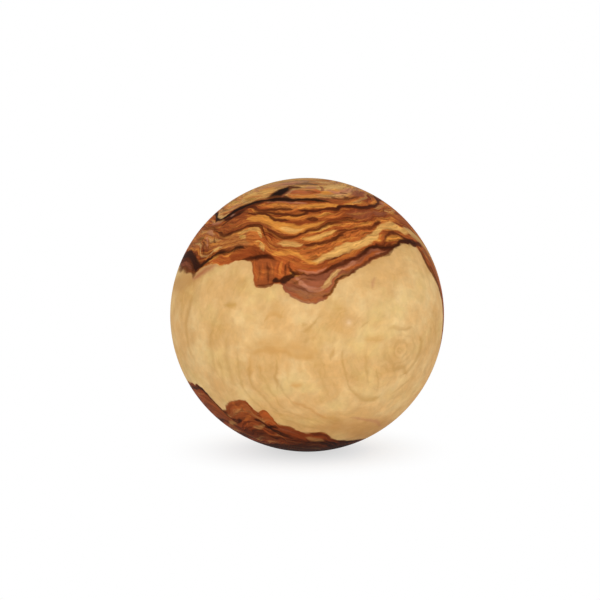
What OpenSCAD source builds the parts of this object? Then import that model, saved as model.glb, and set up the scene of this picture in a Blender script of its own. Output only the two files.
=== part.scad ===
// Wooden ball, turned from one solid block and sanded round.
// Its centre is the origin and +Z is up. Lengths are in millimetres.

/* [Ball] */
// Diameter of the finished ball
ball_d = 70; // [30:1:120]

/* [Hidden] */
// Sides of the turned circle, enough for the steps between them to vanish
turned_sides = 180;

// Half of the ball's section, to the right of the turning axis
module turned_profile() {
    intersection() {
        circle(d = ball_d, $fn = turned_sides);
        translate([0, -ball_d / 2]) square([ball_d / 2, ball_d]);
    }
}

// One piece of wood, solid through, with no bore and no flat
module ball() {
    color("burlywood") rotate_extrude($fn = turned_sides) turned_profile();
}

ball();
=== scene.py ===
import math

import bmesh
import bpy
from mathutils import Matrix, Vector, noise


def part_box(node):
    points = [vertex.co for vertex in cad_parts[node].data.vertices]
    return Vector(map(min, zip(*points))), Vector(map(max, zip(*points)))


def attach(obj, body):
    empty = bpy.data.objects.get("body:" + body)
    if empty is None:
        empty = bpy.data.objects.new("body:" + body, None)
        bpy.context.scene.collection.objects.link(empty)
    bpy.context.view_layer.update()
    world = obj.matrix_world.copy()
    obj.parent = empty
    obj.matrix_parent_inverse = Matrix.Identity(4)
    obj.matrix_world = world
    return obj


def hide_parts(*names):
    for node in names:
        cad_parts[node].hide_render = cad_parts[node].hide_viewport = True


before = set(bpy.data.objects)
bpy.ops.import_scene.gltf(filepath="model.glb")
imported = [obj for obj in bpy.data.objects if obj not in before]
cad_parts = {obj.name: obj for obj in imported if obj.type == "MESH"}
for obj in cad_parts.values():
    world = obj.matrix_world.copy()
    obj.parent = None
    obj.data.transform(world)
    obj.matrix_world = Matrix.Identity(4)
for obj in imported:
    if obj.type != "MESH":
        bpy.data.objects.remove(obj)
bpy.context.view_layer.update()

ball_low, ball_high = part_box("ball")
centre = (ball_low + ball_high) / 2
radius = (ball_high.x - ball_low.x) / 2
MILLIMETRE = 0.001

# The photograph's frame in pixels, and where the ball lies in it
PHOTO_SIDE = 600
BALL_ACROSS = 307.1
BALL_DOWN = 314.8
BALL_RADIUS = 137.0

# The camera stands 10 ball diameters off and looks down by a few degrees
CAMERA_DISTANCE = 20 * radius
CAMERA_RISE = math.radians(8)
SENSOR_WIDTH = 36.0
NEAREST_SEEN = 0.05
FURTHEST_SEEN = 50.0


def direction(longitude, latitude):
    """The way that a longitude and a latitude in degrees point from the centre of the ball."""
    across = math.radians(longitude)
    up = math.radians(latitude)
    return Vector((math.sin(across) * math.cos(up), -math.cos(across) * math.cos(up), math.sin(up)))


# The growth rings of the sapwood go round this place
EYE = direction(43, -14)

# Sapwood tones: growth lines, clouds and stains
SAP_LINE = "#be9152"
SAP_TAN = "#d3a564"
SAP_MIDDLE = "#deb377"
SAP_PALE = "#e7c48a"
SAP_BLUSH = "#dcab6d"
SAP_STRAW = "#e0bf7c"
SAP_BLOT = "#c9944f"
SAP_FALL_LINE = "#c98f50"
SAP_OLIVE_STAIN = "#b98a3c"
SAP_ORANGE_STAIN = "#cd8f48"
SAP_BROWN_STAIN = "#c4893e"

# Heartwood tones, from black through brown and orange to gold, and two greyed ones
BLACK = "#170a05"
BLACK_BROWN = "#30150a"
DARK_BROWN = "#50220c"
UMBER = "#6c3917"
RED_BROWN = "#8a3e1a"
WEDGE_RED = "#984d25"
DARK_RED = "#50200c"
MAUVE = "#8e4f35"
BROWN = "#a04f22"
RUSSET = "#af5726"
LIGHT_BROWN = "#b06c3a"
ORANGE = "#c0692e"
BRIGHT_ORANGE = "#cd7832"
PINK_TAN = "#b9785a"
TAN = "#bf8c52"
OCHRE = "#b08a3c"
GOLD = "#dc913e"
PALE_GOLD = "#e0ac60"
CREAM = "#d6a868"
GREY_BROWN = "#7a5a3d"
MUSHROOM = "#9c7560"

# Streaks of the figure, painted from the broad tones to the fine lines.
# Each is (way, tone, strength, softness of its edge, points), with all its sizes in degrees.
# A streak along the ball has points of (longitude, latitude, half width).
# A streak that runs up has points of (latitude, longitude, half width).
ALONG = 0
UP = 1

CAP_FIGURE = [
    # tan wood round the top of the ball
    (ALONG, TAN, 0.5, 2.0, [(-110, 75, 0), (-80, 74, 12), (-40, 76, 13), (0, 79, 12), (40, 76, 14),
        (80, 74, 10), (110, 75, 0)]),
    (ALONG, GOLD, 0.5, 1.5, [(-95, 58, 0), (-78, 57, 6), (-62, 57, 6.5), (-50, 59.5, 6.5),
        (-38, 61, 5.5), (-31, 61, 2.5), (-27, 60, 0)]),
    (ALONG, MUSHROOM, 0.7, 1.2, [(-42, 72, 0), (-28, 72.5, 2.5), (-15, 73, 3), (-2, 74, 2), (8, 75, 0)]),
    (ALONG, CREAM, 0.6, 1.0, [(8, 73, 0), (20, 73, 2.2), (34, 72, 1.8), (50, 71, 0)]),
    (ALONG, OCHRE, 0.5, 1.0, [(34, 66.5, 0), (42, 66.5, 1.4), (50, 67, 1.2), (60, 68, 0)]),
    # pale, ochre and pink streaks at its left
    (ALONG, CREAM, 0.8, 0.8, [(-72, 63, 0), (-64, 62.3, 1.0), (-56, 61, 1.6), (-50, 60.6, 1.2),
        (-44, 60.8, 0.8), (-38, 59, 0)]),
    (ALONG, OCHRE, 0.6, 0.6, [(-62, 58.5, 0), (-56, 57.5, 0.8), (-50, 56.3, 1.0), (-44, 56, 0.8),
        (-39, 55.5, 0)]),
    (ALONG, CREAM, 0.7, 0.5, [(-60, 56.5, 0), (-54, 55.2, 0.7), (-48, 54, 0.7), (-43, 54, 0.5),
        (-39, 54.5, 0)]),
    (ALONG, PINK_TAN, 0.6, 0.6, [(-80, 67, 0), (-68, 66.3, 0.8), (-60, 65, 1.0), (-52, 63.5, 0.8),
        (-44, 62.5, 0)]),
    (ALONG, GOLD, 0.5, 0.8, [(-52, 67, 0), (-46, 66, 1.2), (-40, 64.5, 1.6), (-35, 62.5, 1.4),
        (-32, 60, 0)]),
    (ALONG, GREY_BROWN, 0.85, 0.5, [(-22, 67, 0), (-14, 69, 0.7), (-8, 70, 0.9), (-2, 70.3, 1.0),
        (4, 70, 0.9), (9, 69.5, 0.9), (14, 69.3, 0)]),
    (ALONG, BLACK_BROWN, 0.9, 0.5, [(-22, 57.5, 0), (-19, 57.3, 1), (-15.5, 56.9, 0.8), (-12, 56.3, 0)]),
    # lines that run together at the left limb
    (ALONG, OCHRE, 0.6, 0.5, [(-90, 55, 0), (-78, 55, 1), (-68, 54.5, 0.9), (-60, 53.8, 0.5),
        (-55, 53, 0)]),
    (ALONG, UMBER, 0.7, 0.5, [(-88, 51.5, 0), (-76, 51, 0.9), (-68, 50, 0.8), (-62, 49, 0.6),
        (-57, 48, 0)]),
]

UPPER_FIGURE = [
    # brown ground under the black line
    (ALONG, RUSSET, 0.7, 0.8, [(-42, 49, 0), (-30, 49.5, 2.5), (-15, 49, 3.5), (0, 49, 3.5),
        (12, 49.5, 3), (20, 50, 2), (24, 50.5, 0)]),
    (ALONG, RED_BROWN, 0.85, 0.8, [(6, 43.5, 0), (10, 44, 1.5), (16, 44.3, 3), (22, 45, 3.8),
        (28, 45.5, 4), (36, 46, 4), (44, 46.5, 3.4), (52, 47, 2.2), (60, 48, 0)]),
    # red-brown wedge on the left
    (ALONG, WEDGE_RED, 0.95, 0.6, [(-54, 38.5, 0), (-50, 38.5, 2.6), (-46, 39.8, 4.7),
        (-42, 41.2, 6.2), (-38, 42, 5.4), (-35, 40.8, 2.6), (-31, 41, 1.5), (-26, 40.6, 1.0),
        (-21, 38.6, 0.9), (-16, 36.4, 0.9), (-12, 35, 0.8), (-7, 34.7, 0)]),
    # gold and orange bands between the black line and the upper line
    (ALONG, PINK_TAN, 0.7, 0.4, [(-34, 52.5, 0), (-26, 53.2, 0.5), (-16, 53.3, 0.6), (-8, 53, 0.7),
        (-3, 52.3, 0.6), (2, 52, 0)]),
    (ALONG, BRIGHT_ORANGE, 0.85, 0.5, [(-30, 51, 0), (-25, 51, 0.9), (-19, 50.9, 1.1),
        (-13, 50.8, 1.0), (-9, 50.3, 0.6), (-7, 49.8, 0)]),
    (ALONG, GOLD, 0.85, 0.5, [(-7, 49.2, 0), (-4, 49.4, 0.7), (0, 49.9, 1.0), (5, 50.3, 1.2),
        (10, 50.6, 1.3), (15, 50.8, 1.2), (19, 50.8, 0.8), (21.5, 50.8, 0)]),
    (ALONG, ORANGE, 0.7, 0.35, [(-40, 48.8, 0), (-34, 49, 0.4), (-26, 48.2, 0.5), (-18, 47.2, 0.6),
        (-10, 46.6, 0.6), (-4, 46.3, 0.4), (0, 46.8, 0)]),
    (ALONG, BRIGHT_ORANGE, 0.9, 0.5, [(-17, 43.3, 0), (-13, 43, 0.8), (-8, 42.8, 1.1), (-3, 43.1, 1.0),
        (1, 44, 0.7), (5, 45.2, 0.8), (9, 46, 0)]),
    # curls in the brown wood on the right
    (ALONG, ORANGE, 0.8, 0.5, [(9, 43.6, 0), (12, 43.7, 0.7), (15, 44.5, 1.0), (18, 45.5, 0.8),
        (21, 47, 0.5), (23, 48.4, 0)]),
    (ALONG, DARK_BROWN, 0.6, 0.4, [(18, 43.2, 0), (22, 43, 0.6), (26, 43.5, 0.5), (30, 45, 0.4),
        (33, 46.5, 0)]),
    (ALONG, RUSSET, 0.7, 0.4, [(24, 42, 0), (27, 43.5, 0.4), (30, 45.2, 0.5), (33, 46.8, 0.5),
        (36, 48.2, 0)]),
    (ALONG, RUSSET, 0.7, 0.4, [(28, 41.5, 0), (31, 43, 0.4), (34, 44.8, 0.45), (37, 46.8, 0.4),
        (39, 48.3, 0)]),
    (ALONG, RUSSET, 0.7, 0.4, [(32, 41.5, 0), (35, 43, 0.35), (38, 44.8, 0.4), (41, 46.6, 0.35),
        (43, 48, 0)]),
    (ALONG, RUSSET, 0.7, 0.4, [(26, 44.8, 0), (28.5, 46.3, 0.4), (31, 47.8, 0.4), (33, 48.8, 0)]),
    (ALONG, MAUVE, 0.7, 0.6, [(42, 44.5, 0), (45, 45.5, 0.9), (49, 46, 1), (53, 46, 0)]),
    (ALONG, DARK_BROWN, 0.75, 0.5, [(37, 40, 0), (40, 40.6, 0.6), (43, 41.2, 0.6), (46, 42, 0)]),
    (ALONG, ORANGE, 0.6, 0.4, [(22, 36.8, 0), (26, 38, 0.4), (30, 39.2, 0.45), (34, 40.4, 0.4),
        (38, 41, 0)]),
    (ALONG, UMBER, 0.6, 0.4, [(24, 38.3, 0), (28, 39.6, 0.4), (32, 40.9, 0.4), (36, 42, 0.3),
        (40, 43, 0)]),
    (ALONG, ORANGE, 0.7, 0.8, [(53, 43, 0), (58, 44, 1.6), (64, 44.3, 2.2), (72, 44, 1.8), (82, 43, 0)]),
    (ALONG, RED_BROWN, 0.8, 0.6, [(54, 41.6, 0), (59, 40.2, 1.0), (64, 39.6, 1.4), (70, 39.5, 1.0),
        (80, 39, 0)]),
    (ALONG, CREAM, 0.6, 0.5, [(54.5, 48.2, 0), (58, 48, 0.6), (64, 47.8, 0.7), (70, 48.5, 0.7),
        (80, 49, 0)]),
    (ALONG, UMBER, 0.7, 0.5, [(47, 47.6, 0), (52, 47.5, 0.6), (56, 48.7, 0.5), (61, 49.8, 0.6),
        (67, 50.2, 0.6), (76, 51.5, 0)]),
    (ALONG, PINK_TAN, 0.7, 0.6, [(59, 53.2, 0), (63, 53.6, 0.8), (67, 53.8, 0.8), (72, 54.5, 0)]),
    (ALONG, GREY_BROWN, 0.7, 0.7, [(62, 58.4, 0), (68, 59, 1.2), (76, 59.6, 1.2), (88, 58, 0)]),
    (ALONG, OCHRE, 0.5, 0.7, [(56, 57, 0), (64, 60.6, 0.9), (74, 62, 1.0), (88, 61, 0)]),
    (ALONG, MUSHROOM, 0.6, 0.7, [(50, 62.4, 0), (58, 65, 0.9), (68, 66, 1.0), (82, 66, 0)]),
    (ALONG, DARK_BROWN, 0.6, 0.6, [(58, 46.4, 0), (66, 46.8, 0.6), (76, 47, 0.6), (88, 46, 0)]),
]

MIDDLE_FIGURE = [
    # orange ground between the middle line and the boundary
    (ALONG, ORANGE, 0.75, 0.8, [(-23, 29, 0), (-16, 29, 3.5), (-8, 29, 4), (0, 27, 4.5), (8, 28, 4.5),
        (16, 31, 3.5), (24, 34, 2.5), (32, 36.5, 0)]),
    (ALONG, LIGHT_BROWN, 0.8, 1.0, [(-88, 33, 0), (-75, 33, 5), (-62, 33, 4.5), (-50, 31, 3.8),
        (-40, 31, 3.8), (-32, 32, 3.5), (-26, 33, 2), (-22, 33, 0)]),
    (ALONG, WEDGE_RED, 0.6, 0.6, [(-22, 30, 0), (-18, 29.5, 1.4), (-14, 28.6, 1.3), (-10, 27.5, 0)]),
    (ALONG, GOLD, 0.9, 0.5, [(39, 30.8, 0), (43, 32.4, 1.0), (47, 33.6, 1.3), (50, 33.8, 1.2),
        (53, 33, 0.7), (56, 32.2, 0)]),
    (ALONG, GOLD, 0.9, 0.5, [(-5, 32.3, 0), (0, 32, 0.9), (3, 32.2, 1.1), (6, 33.3, 1.2),
        (9, 34.3, 1.1), (12, 35.3, 0.9), (17, 37, 0)]),
    (UP, PALE_GOLD, 0.85, 0.5, [(25.6, -19.4, 0), (27, -20.3, 0.9), (28.6, -21, 1.3),
        (29.8, -21.8, 0.8), (30.6, -22.6, 0)]),
    # gold spots and swirls over the boundary on the left
    (ALONG, OCHRE, 0.7, 0.7, [(-69, 32.6, 0), (-65, 32.8, 1.1), (-61, 32.8, 0)]),
    (ALONG, PALE_GOLD, 0.8, 0.5, [(-36.5, 34.2, 0), (-34.5, 34, 0.6), (-32, 33.4, 0.8), (-30, 32.8, 0)]),
    (ALONG, BRIGHT_ORANGE, 0.6, 0.5, [(-56, 29.2, 0), (-53.5, 29.4, 0.8), (-50.5, 29.8, 0.8),
        (-48, 30.4, 0)]),
    (ALONG, CREAM, 0.8, 0.4, [(-72, 31.5, 0), (-64, 29.8, 0.5), (-60, 28.2, 0.5), (-57.5, 26, 0.4),
        (-55, 24.9, 0.4), (-51, 25, 0.4), (-47.5, 26.8, 0.6), (-44.5, 28.3, 0.5), (-41, 28.6, 0)]),
    (ALONG, CREAM, 0.6, 0.4, [(-61, 34.8, 0), (-56, 32.7, 0.4), (-52, 31.6, 0.5), (-47, 32.3, 0.4),
        (-43, 33, 0)]),
    (ALONG, RED_BROWN, 0.8, 0.35, [(-68, 33.5, 0), (-62, 31.2, 0.4), (-59, 29.8, 0.5),
        (-57, 27.8, 0.5), (-55, 26.3, 0.5), (-52, 25.7, 0.5), (-49, 26.7, 0.4), (-46, 28.5, 0)]),
    (UP, RED_BROWN, 0.8, 0.35, [(27, -52.8, 0), (28.2, -54.3, 0.5), (29.4, -54.8, 0.5), (31, -54.3, 0)]),
    (ALONG, RED_BROWN, 0.6, 0.4, [(-57, 35.3, 0), (-50, 33.6, 0.4), (-45, 32.8, 0.4), (-40, 32.2, 0.5),
        (-35, 31.5, 0)]),
    (ALONG, RED_BROWN, 0.6, 0.4, [(-49, 30.5, 0), (-44, 29.8, 0.4), (-40, 29.8, 0.5), (-36, 30.2, 0.4),
        (-31, 30.5, 0)]),
    # the bright lobe that the middle line bends round
    (UP, ORANGE, 0.85, 0.5, [(30.3, -27, 0), (31.5, -26.5, 3), (33.5, -26.5, 4), (35.5, -27.2, 4.2),
        (37, -27.8, 2.5), (38.2, -28, 0)]),
    (ALONG, PALE_GOLD, 0.85, 0.5, [(-39, 35, 0), (-35, 35.7, 0.5), (-32, 36.2, 0.6), (-29.5, 37, 0.8),
        (-27, 37, 1.2), (-25, 35.8, 1.6), (-23.7, 34.4, 1.4), (-22.7, 33, 0.7), (-21.8, 31.5, 0)]),
    (ALONG, OCHRE, 0.6, 0.7, [(-36, 33.4, 0), (-33.6, 33.8, 0.7), (-31, 33.8, 0)]),
    # streaks at the left limb
    (ALONG, UMBER, 0.8, 0.5, [(-92, 40.5, 0), (-78, 39.8, 0.9), (-70, 38.8, 0.8), (-62, 38.4, 0.9),
        (-57, 37.8, 0.8), (-53, 36.4, 0.6), (-50, 35.2, 0)]),
    (ALONG, CREAM, 0.6, 0.4, [(-74, 43.3, 0), (-66, 42.5, 0.5), (-60, 41.9, 0.5), (-55, 42.4, 0.5),
        (-51, 43.3, 0)]),
    (ALONG, CREAM, 0.6, 0.5, [(-78, 37.2, 0), (-68, 36.8, 0.6), (-61, 36.3, 0.7), (-56, 35.5, 0.5),
        (-51, 34, 0)]),
]

BAND_FIGURE = [
    # the long gold streak and the lens that it widens into
    (ALONG, GOLD, 0.9, 0.6, [(-37, 42.4, 0), (-33, 43.3, 1.1), (-28, 43.5, 1.8), (-24, 42.8, 1.7),
        (-20, 41, 1.5), (-16, 39.2, 1.7), (-12, 37.8, 2.2), (-8, 37.3, 2.3), (-4, 37.4, 1.9),
        (0, 38.3, 1.3), (4, 39.2, 0.8), (8, 40.2, 0.5), (13, 41.6, 0)]),
    (ALONG, PALE_GOLD, 0.8, 0.6, [(-16, 38, 0), (-12, 37.3, 0.8), (-8, 36.7, 1.2), (-4, 36.8, 0.8),
        (1, 38, 0)]),
    # curls of dark and pinkish wood at the left limb
    (ALONG, UMBER, 0.8, 0.8, [(-72, 39.6, 0), (-65, 39.4, 0.8), (-59.5, 39.3, 1.1), (-55, 38.8, 0.8),
        (-51, 37.6, 0)]),
    (ALONG, PINK_TAN, 0.75, 0.7, [(-68, 41.6, 0), (-62, 41.4, 0.7), (-57, 41.2, 0.8), (-53, 41.4, 0)]),
    (ALONG, PINK_TAN, 0.8, 0.7, [(-66, 36.2, 0), (-61.5, 36.4, 0.9), (-58, 36, 0.8), (-55, 34.6, 0.5),
        (-51.6, 33.8, 0)]),
    (ALONG, UMBER, 0.75, 0.8, [(-69, 33, 0), (-66, 32.8, 0.8), (-64, 32.8, 0.8), (-61.6, 32.4, 0)]),
    (ALONG, PINK_TAN, 0.75, 0.5, [(-62, 33.4, 0), (-59, 33, 0.5), (-57, 31.6, 0.5), (-55, 29.8, 0.5),
        (-53.4, 28.4, 0)]),
    (ALONG, DARK_BROWN, 0.75, 0.5, [(-63, 31.2, 0), (-60, 30.8, 0.5), (-58, 29.4, 0.6),
        (-56, 27.2, 0.6), (-54, 26, 0.5), (-51.4, 26.4, 0)]),
    (UP, DARK_BROWN, 0.7, 0.4, [(27.6, -52, 0), (28.3, -53.2, 0.4), (29.4, -53.7, 0.4),
        (30.6, -53.4, 0)]),
    (ALONG, DARK_BROWN, 0.65, 0.4, [(-53, 34.4, 0), (-51.8, 32.6, 0.4), (-50.2, 31.2, 0.5),
        (-47.6, 30.6, 0)]),
    (ALONG, PALE_GOLD, 0.8, 0.5, [(-50.4, 27, 0), (-47.6, 27.4, 0.5), (-45.8, 27.6, 0.7),
        (-43.8, 28, 0)]),
    # main golden band over the boundary line
    (ALONG, GOLD, 0.85, 0.5, [(-17, 25.2, 0), (-13, 25.2, 0.8), (-8, 25.3, 0.8), (-4, 25, 0.7),
        (-1.5, 23, 0.6), (1, 21.9, 0.7), (4, 21.8, 0.8), (8, 23, 0)]),
    (ALONG, PALE_GOLD, 0.92, 0.6, [(1, 22, 0), (5, 22.2, 0.9), (10, 24.4, 1.5), (14, 26.5, 2.1),
        (18, 28, 2.1), (22, 29.1, 1.8), (26, 30.4, 1.8), (30, 31.6, 1.9), (34, 33.4, 1.9),
        (37.5, 35.8, 1.8), (40, 37.4, 1.5), (44, 39.2, 1.4), (48, 39.8, 1.8), (52, 39.9, 2.1),
        (55, 39, 1.7), (58, 37.4, 1.4), (64, 36.5, 1.0), (70, 35, 1.2), (76, 30.6, 1.2), (82, 24, 0.8),
        (90, 14, 0)]),
    (ALONG, PALE_GOLD, 0.8, 0.9, [(-15.4, 30.4, 0), (-11.6, 30, 1.0), (-8, 29.5, 1.5),
        (-4.5, 29.3, 1.1), (-1, 29.6, 0)]),
    (ALONG, PALE_GOLD, 0.7, 0.7, [(-4, 31.8, 0), (1, 32, 0.7), (5, 33, 1.0), (9, 34.4, 0.9),
        (13, 35.8, 0.5), (18, 37.2, 0)]),
    (ALONG, DARK_RED, 0.8, 0.6, [(20, 36.2, 0), (25, 37.4, 0.5), (30, 37.8, 0.7), (34, 38.2, 0.8),
        (38, 39.6, 0.9), (42, 41.2, 0.8), (46, 42.8, 0)]),
    (ALONG, DARK_RED, 0.7, 0.6, [(8, 40.6, 0), (13, 41.2, 0.6), (20, 41.5, 0.6), (26, 41.8, 0.4),
        (32, 43, 0)]),
    (ALONG, RED_BROWN, 0.7, 0.8, [(14, 44.4, 0), (18, 45.4, 1.2), (22, 46, 1.6), (26, 47.2, 0.8),
        (30, 48, 0)]),
    (ALONG, ORANGE, 0.85, 0.5, [(5, 43.8, 0), (9, 43.3, 0.6), (13, 43.6, 1.0), (17, 44.2, 0.6),
        (21, 45.6, 0.4), (24, 47, 0)]),
    (ALONG, MAUVE, 0.7, 0.6, [(42, 45.6, 0), (46, 46.6, 1.0), (50, 47, 0.9), (55, 46.8, 0.6),
        (60, 46.4, 0)]),
    (ALONG, TAN, 0.7, 0.6, [(46, 48.9, 0), (50, 49.8, 0.8), (55, 50.6, 0.8), (60, 51.6, 0.6),
        (66, 53, 0)]),
    # dark and red wood over the upper line on the right, and the tan streak in it
    (ALONG, WEDGE_RED, 0.85, 0.8, [(12, 53.4, 0), (17, 53.8, 1.4), (22, 54.2, 1.6), (28, 54.6, 1.8),
        (34, 55.6, 1.2), (40, 57.6, 1.0), (46, 59.2, 1.0), (54, 61, 0.8), (64, 63, 0)]),
    (ALONG, DARK_RED, 0.85, 0.7, [(16, 55.8, 0), (19, 56.2, 0.8), (23, 55.4, 0.6), (27, 55.6, 0.9),
        (30, 56.6, 1.5), (34, 56, 0.7), (38, 56.6, 0.8), (42, 57.4, 0.9), (46, 58.8, 0.6),
        (50, 60.2, 0.8), (56, 61.6, 0.7), (66, 64, 0)]),
    (ALONG, TAN, 0.8, 0.5, [(30, 52.8, 0), (36, 53.4, 0.6), (41, 54.4, 0.7), (46, 56.2, 0.7),
        (52, 58.2, 0.7), (58, 60.2, 0.6), (66, 62.4, 0)]),
    # brown island in front of the cap, with the golden wood to its right
    (ALONG, RUSSET, 0.85, 0.9, [(-18, 59.4, 0), (-14, 59.8, 2.4), (-8, 60.6, 3.6), (0, 61.4, 3.8),
        (6, 61.8, 3.2), (11, 61.4, 2.0), (15, 61, 0)]),
    (ALONG, BRIGHT_ORANGE, 0.75, 0.7, [(-16, 58, 0), (-11, 58, 0.7), (-4, 57.6, 0.7), (2, 57.8, 1.2),
        (8, 57.6, 0.9), (13, 57.8, 0)]),
    (ALONG, DARK_RED, 0.6, 0.5, [(-4, 62.8, 0), (1, 63, 0.8), (6, 61.8, 0.9), (10, 60.4, 0)]),
    (ALONG, DARK_RED, 0.75, 0.7, [(-21, 65, 0), (-16, 65.6, 1.0), (-10, 65.4, 0.7), (-5, 65, 0)]),
    (ALONG, PINK_TAN, 0.8, 0.8, [(-4, 66.2, 0), (2, 66, 1.2), (8, 65.8, 1.2), (11, 65.5, 0)]),
    (UP, MAUVE, 0.85, 0.6, [(60.8, 12, 0), (62.4, 14, 1.2), (64.4, 15, 1.6), (66.4, 14.4, 1.6),
        (68.4, 12, 0)]),
    (ALONG, GOLD, 0.8, 1.0, [(9, 59, 0), (13, 60, 1.4), (18, 61, 1.9), (24, 62, 2.2), (30, 63, 1.6),
        (38, 64.4, 1.2), (48, 66, 0)]),
    (ALONG, TAN, 0.7, 0.6, [(-18, 59.4, 0), (-16.4, 60.2, 0.9), (-14.6, 60.8, 0.8), (-13, 61, 0)]),
    (ALONG, CREAM, 0.85, 1.6, [(16, 67, 0), (24, 67, 2.2), (34, 66.6, 3.0), (46, 66, 2.6),
        (56, 66.4, 0)]),
    (ALONG, PINK_TAN, 0.85, 1.2, [(14, 63.4, 0), (20, 62.8, 1.0), (27, 60.4, 1.6), (34, 61.8, 2.2),
        (42, 63.6, 2.0), (50, 65, 1.4), (58, 66.4, 0)]),
    (ALONG, DARK_RED, 0.7, 0.8, [(27, 60, 0), (30, 60.8, 0.9), (34, 60.2, 0.7), (39, 59, 0)]),
    (ALONG, MAUVE, 0.9, 1.0, [(37, 59.4, 0), (42, 60, 1.6), (48, 60.6, 2.3), (54, 61.4, 2.2),
        (60, 62.4, 1.4), (67, 63.6, 0)]),
    # pinkish and golden wood of the cap on the left, with red-brown flecks
    (ALONG, PINK_TAN, 0.55, 1.6, [(-66, 66.6, 0), (-54, 66.6, 1.6), (-42, 68, 2.4), (-30, 69.6, 2.4),
        (-18, 71.6, 2.0), (-8, 73, 0)]),
    (ALONG, PALE_GOLD, 0.6, 1.4, [(-64, 57, 0), (-56, 58.4, 2.0), (-48, 60, 2.4), (-41, 61.6, 2.8),
        (-35, 62.8, 2.0), (-30, 63.4, 0)]),
    (ALONG, RUSSET, 0.65, 0.7, [(-56, 56.2, 0), (-50, 57.2, 0.7), (-45, 58, 0.8), (-40, 58.2, 0.7),
        (-36, 57.6, 0)]),
    (ALONG, WEDGE_RED, 0.5, 0.7, [(-50, 60.2, 0), (-46, 61, 0.6), (-42, 60.6, 0.7), (-38, 60.8, 0)]),
    (ALONG, MAUVE, 0.5, 0.8, [(-38, 65, 0), (-33, 66, 0.8), (-28, 66.4, 1.0), (-22, 67.4, 0.8),
        (-16, 69, 0)]),
    # reddish brown wood with fine curls under the upper line
    (ALONG, MAUVE, 0.55, 1.2, [(20, 45.6, 0), (26, 45.4, 1.6), (33, 45.4, 2.4), (40, 46, 2.2),
        (46, 47, 0)]),
]

# Bands and lines of the back, made up after those of the front
BACK_FIGURE = [
    (ALONG, GOLD, 0.7, 1.2, [(96, 28, 0), (108, 20.6, 1.4), (124, 20.6, 1.8), (140, 26.6, 1.5),
        (156, 34.4, 1.2), (170, 39, 0)]),
    (ALONG, BRIGHT_ORANGE, 0.7, 1.2, [(102, 2, 0), (112, -5, 1.6), (126, -1, 2.0), (140, 8.6, 1.4),
        (154, 20, 0)]),
    (ALONG, PALE_GOLD, 0.7, 1.2, [(-168, 29, 0), (-152, 32.6, 1.3), (-136, 38.4, 1.7), (-120, 36, 1.4),
        (-104, 31, 1.0), (-92, 30.6, 0)]),
    (ALONG, DARK_BROWN, 0.8, 0.7, [(86, -5, 0), (95, -14.6, 0.8), (110, -18.6, 0.9), (125, -12.8, 0.6),
        (140, -0.6, 0.7), (155, 13.4, 0.5), (168, 19.4, 0)]),
    (ALONG, DARK_RED, 0.8, 0.6, [(84, 32, 0), (95, 21.4, 0.6), (104, 15.4, 1.0), (114, 13.6, 0.7),
        (125, 15.6, 0.5), (140, 21.4, 0.7), (155, 30.2, 0.5), (172, 36, 0)]),
    (ALONG, DARK_RED, 0.75, 0.6, [(88, 42, 0), (98, 34, 0.5), (110, 27, 0.6), (125, 26.6, 0.8),
        (140, 31, 0.5), (156, 38.6, 0.6), (174, 43.4, 0)]),
    (ALONG, BLACK_BROWN, 0.7, 0.6, [(92, 49.6, 0), (102, 43, 0.6), (112, 39, 0.9), (125, 37.4, 0.7),
        (138, 41, 0.5), (150, 45.4, 0)]),
    (ALONG, DARK_BROWN, 0.8, 0.6, [(100, 57, 0), (112, 50.6, 0.7), (125, 48.4, 1.0), (140, 51.4, 0.8),
        (155, 57, 0.6), (168, 60.6, 0)]),
    (ALONG, DARK_BROWN, 0.8, 0.6, [(-172, 21.4, 0), (-158, 24.6, 0.6), (-142, 31.4, 0.8),
        (-126, 30.8, 0.6), (-110, 23.6, 0.5), (-98, 24.2, 0)]),
    (ALONG, DARK_RED, 0.8, 0.6, [(-176, 37, 0), (-162, 38.8, 0.5), (-148, 43, 0.8), (-130, 47, 0.6),
        (-112, 41.8, 0.6), (-97, 38.6, 0)]),
    (ALONG, DARK_RED, 0.75, 0.6, [(-170, 45, 0), (-156, 47.6, 0.5), (-140, 51.6, 0.7), (-124, 51, 0.5),
        (-108, 45.4, 0.6), (-96, 41.6, 0)]),
    (ALONG, DARK_BROWN, 0.8, 0.6, [(-174, 62, 0), (-160, 62.8, 0.7), (-146, 64.6, 0.9),
        (-130, 65.4, 0.8), (-114, 62.4, 0.7), (-101, 57.6, 0)]),
]

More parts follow.
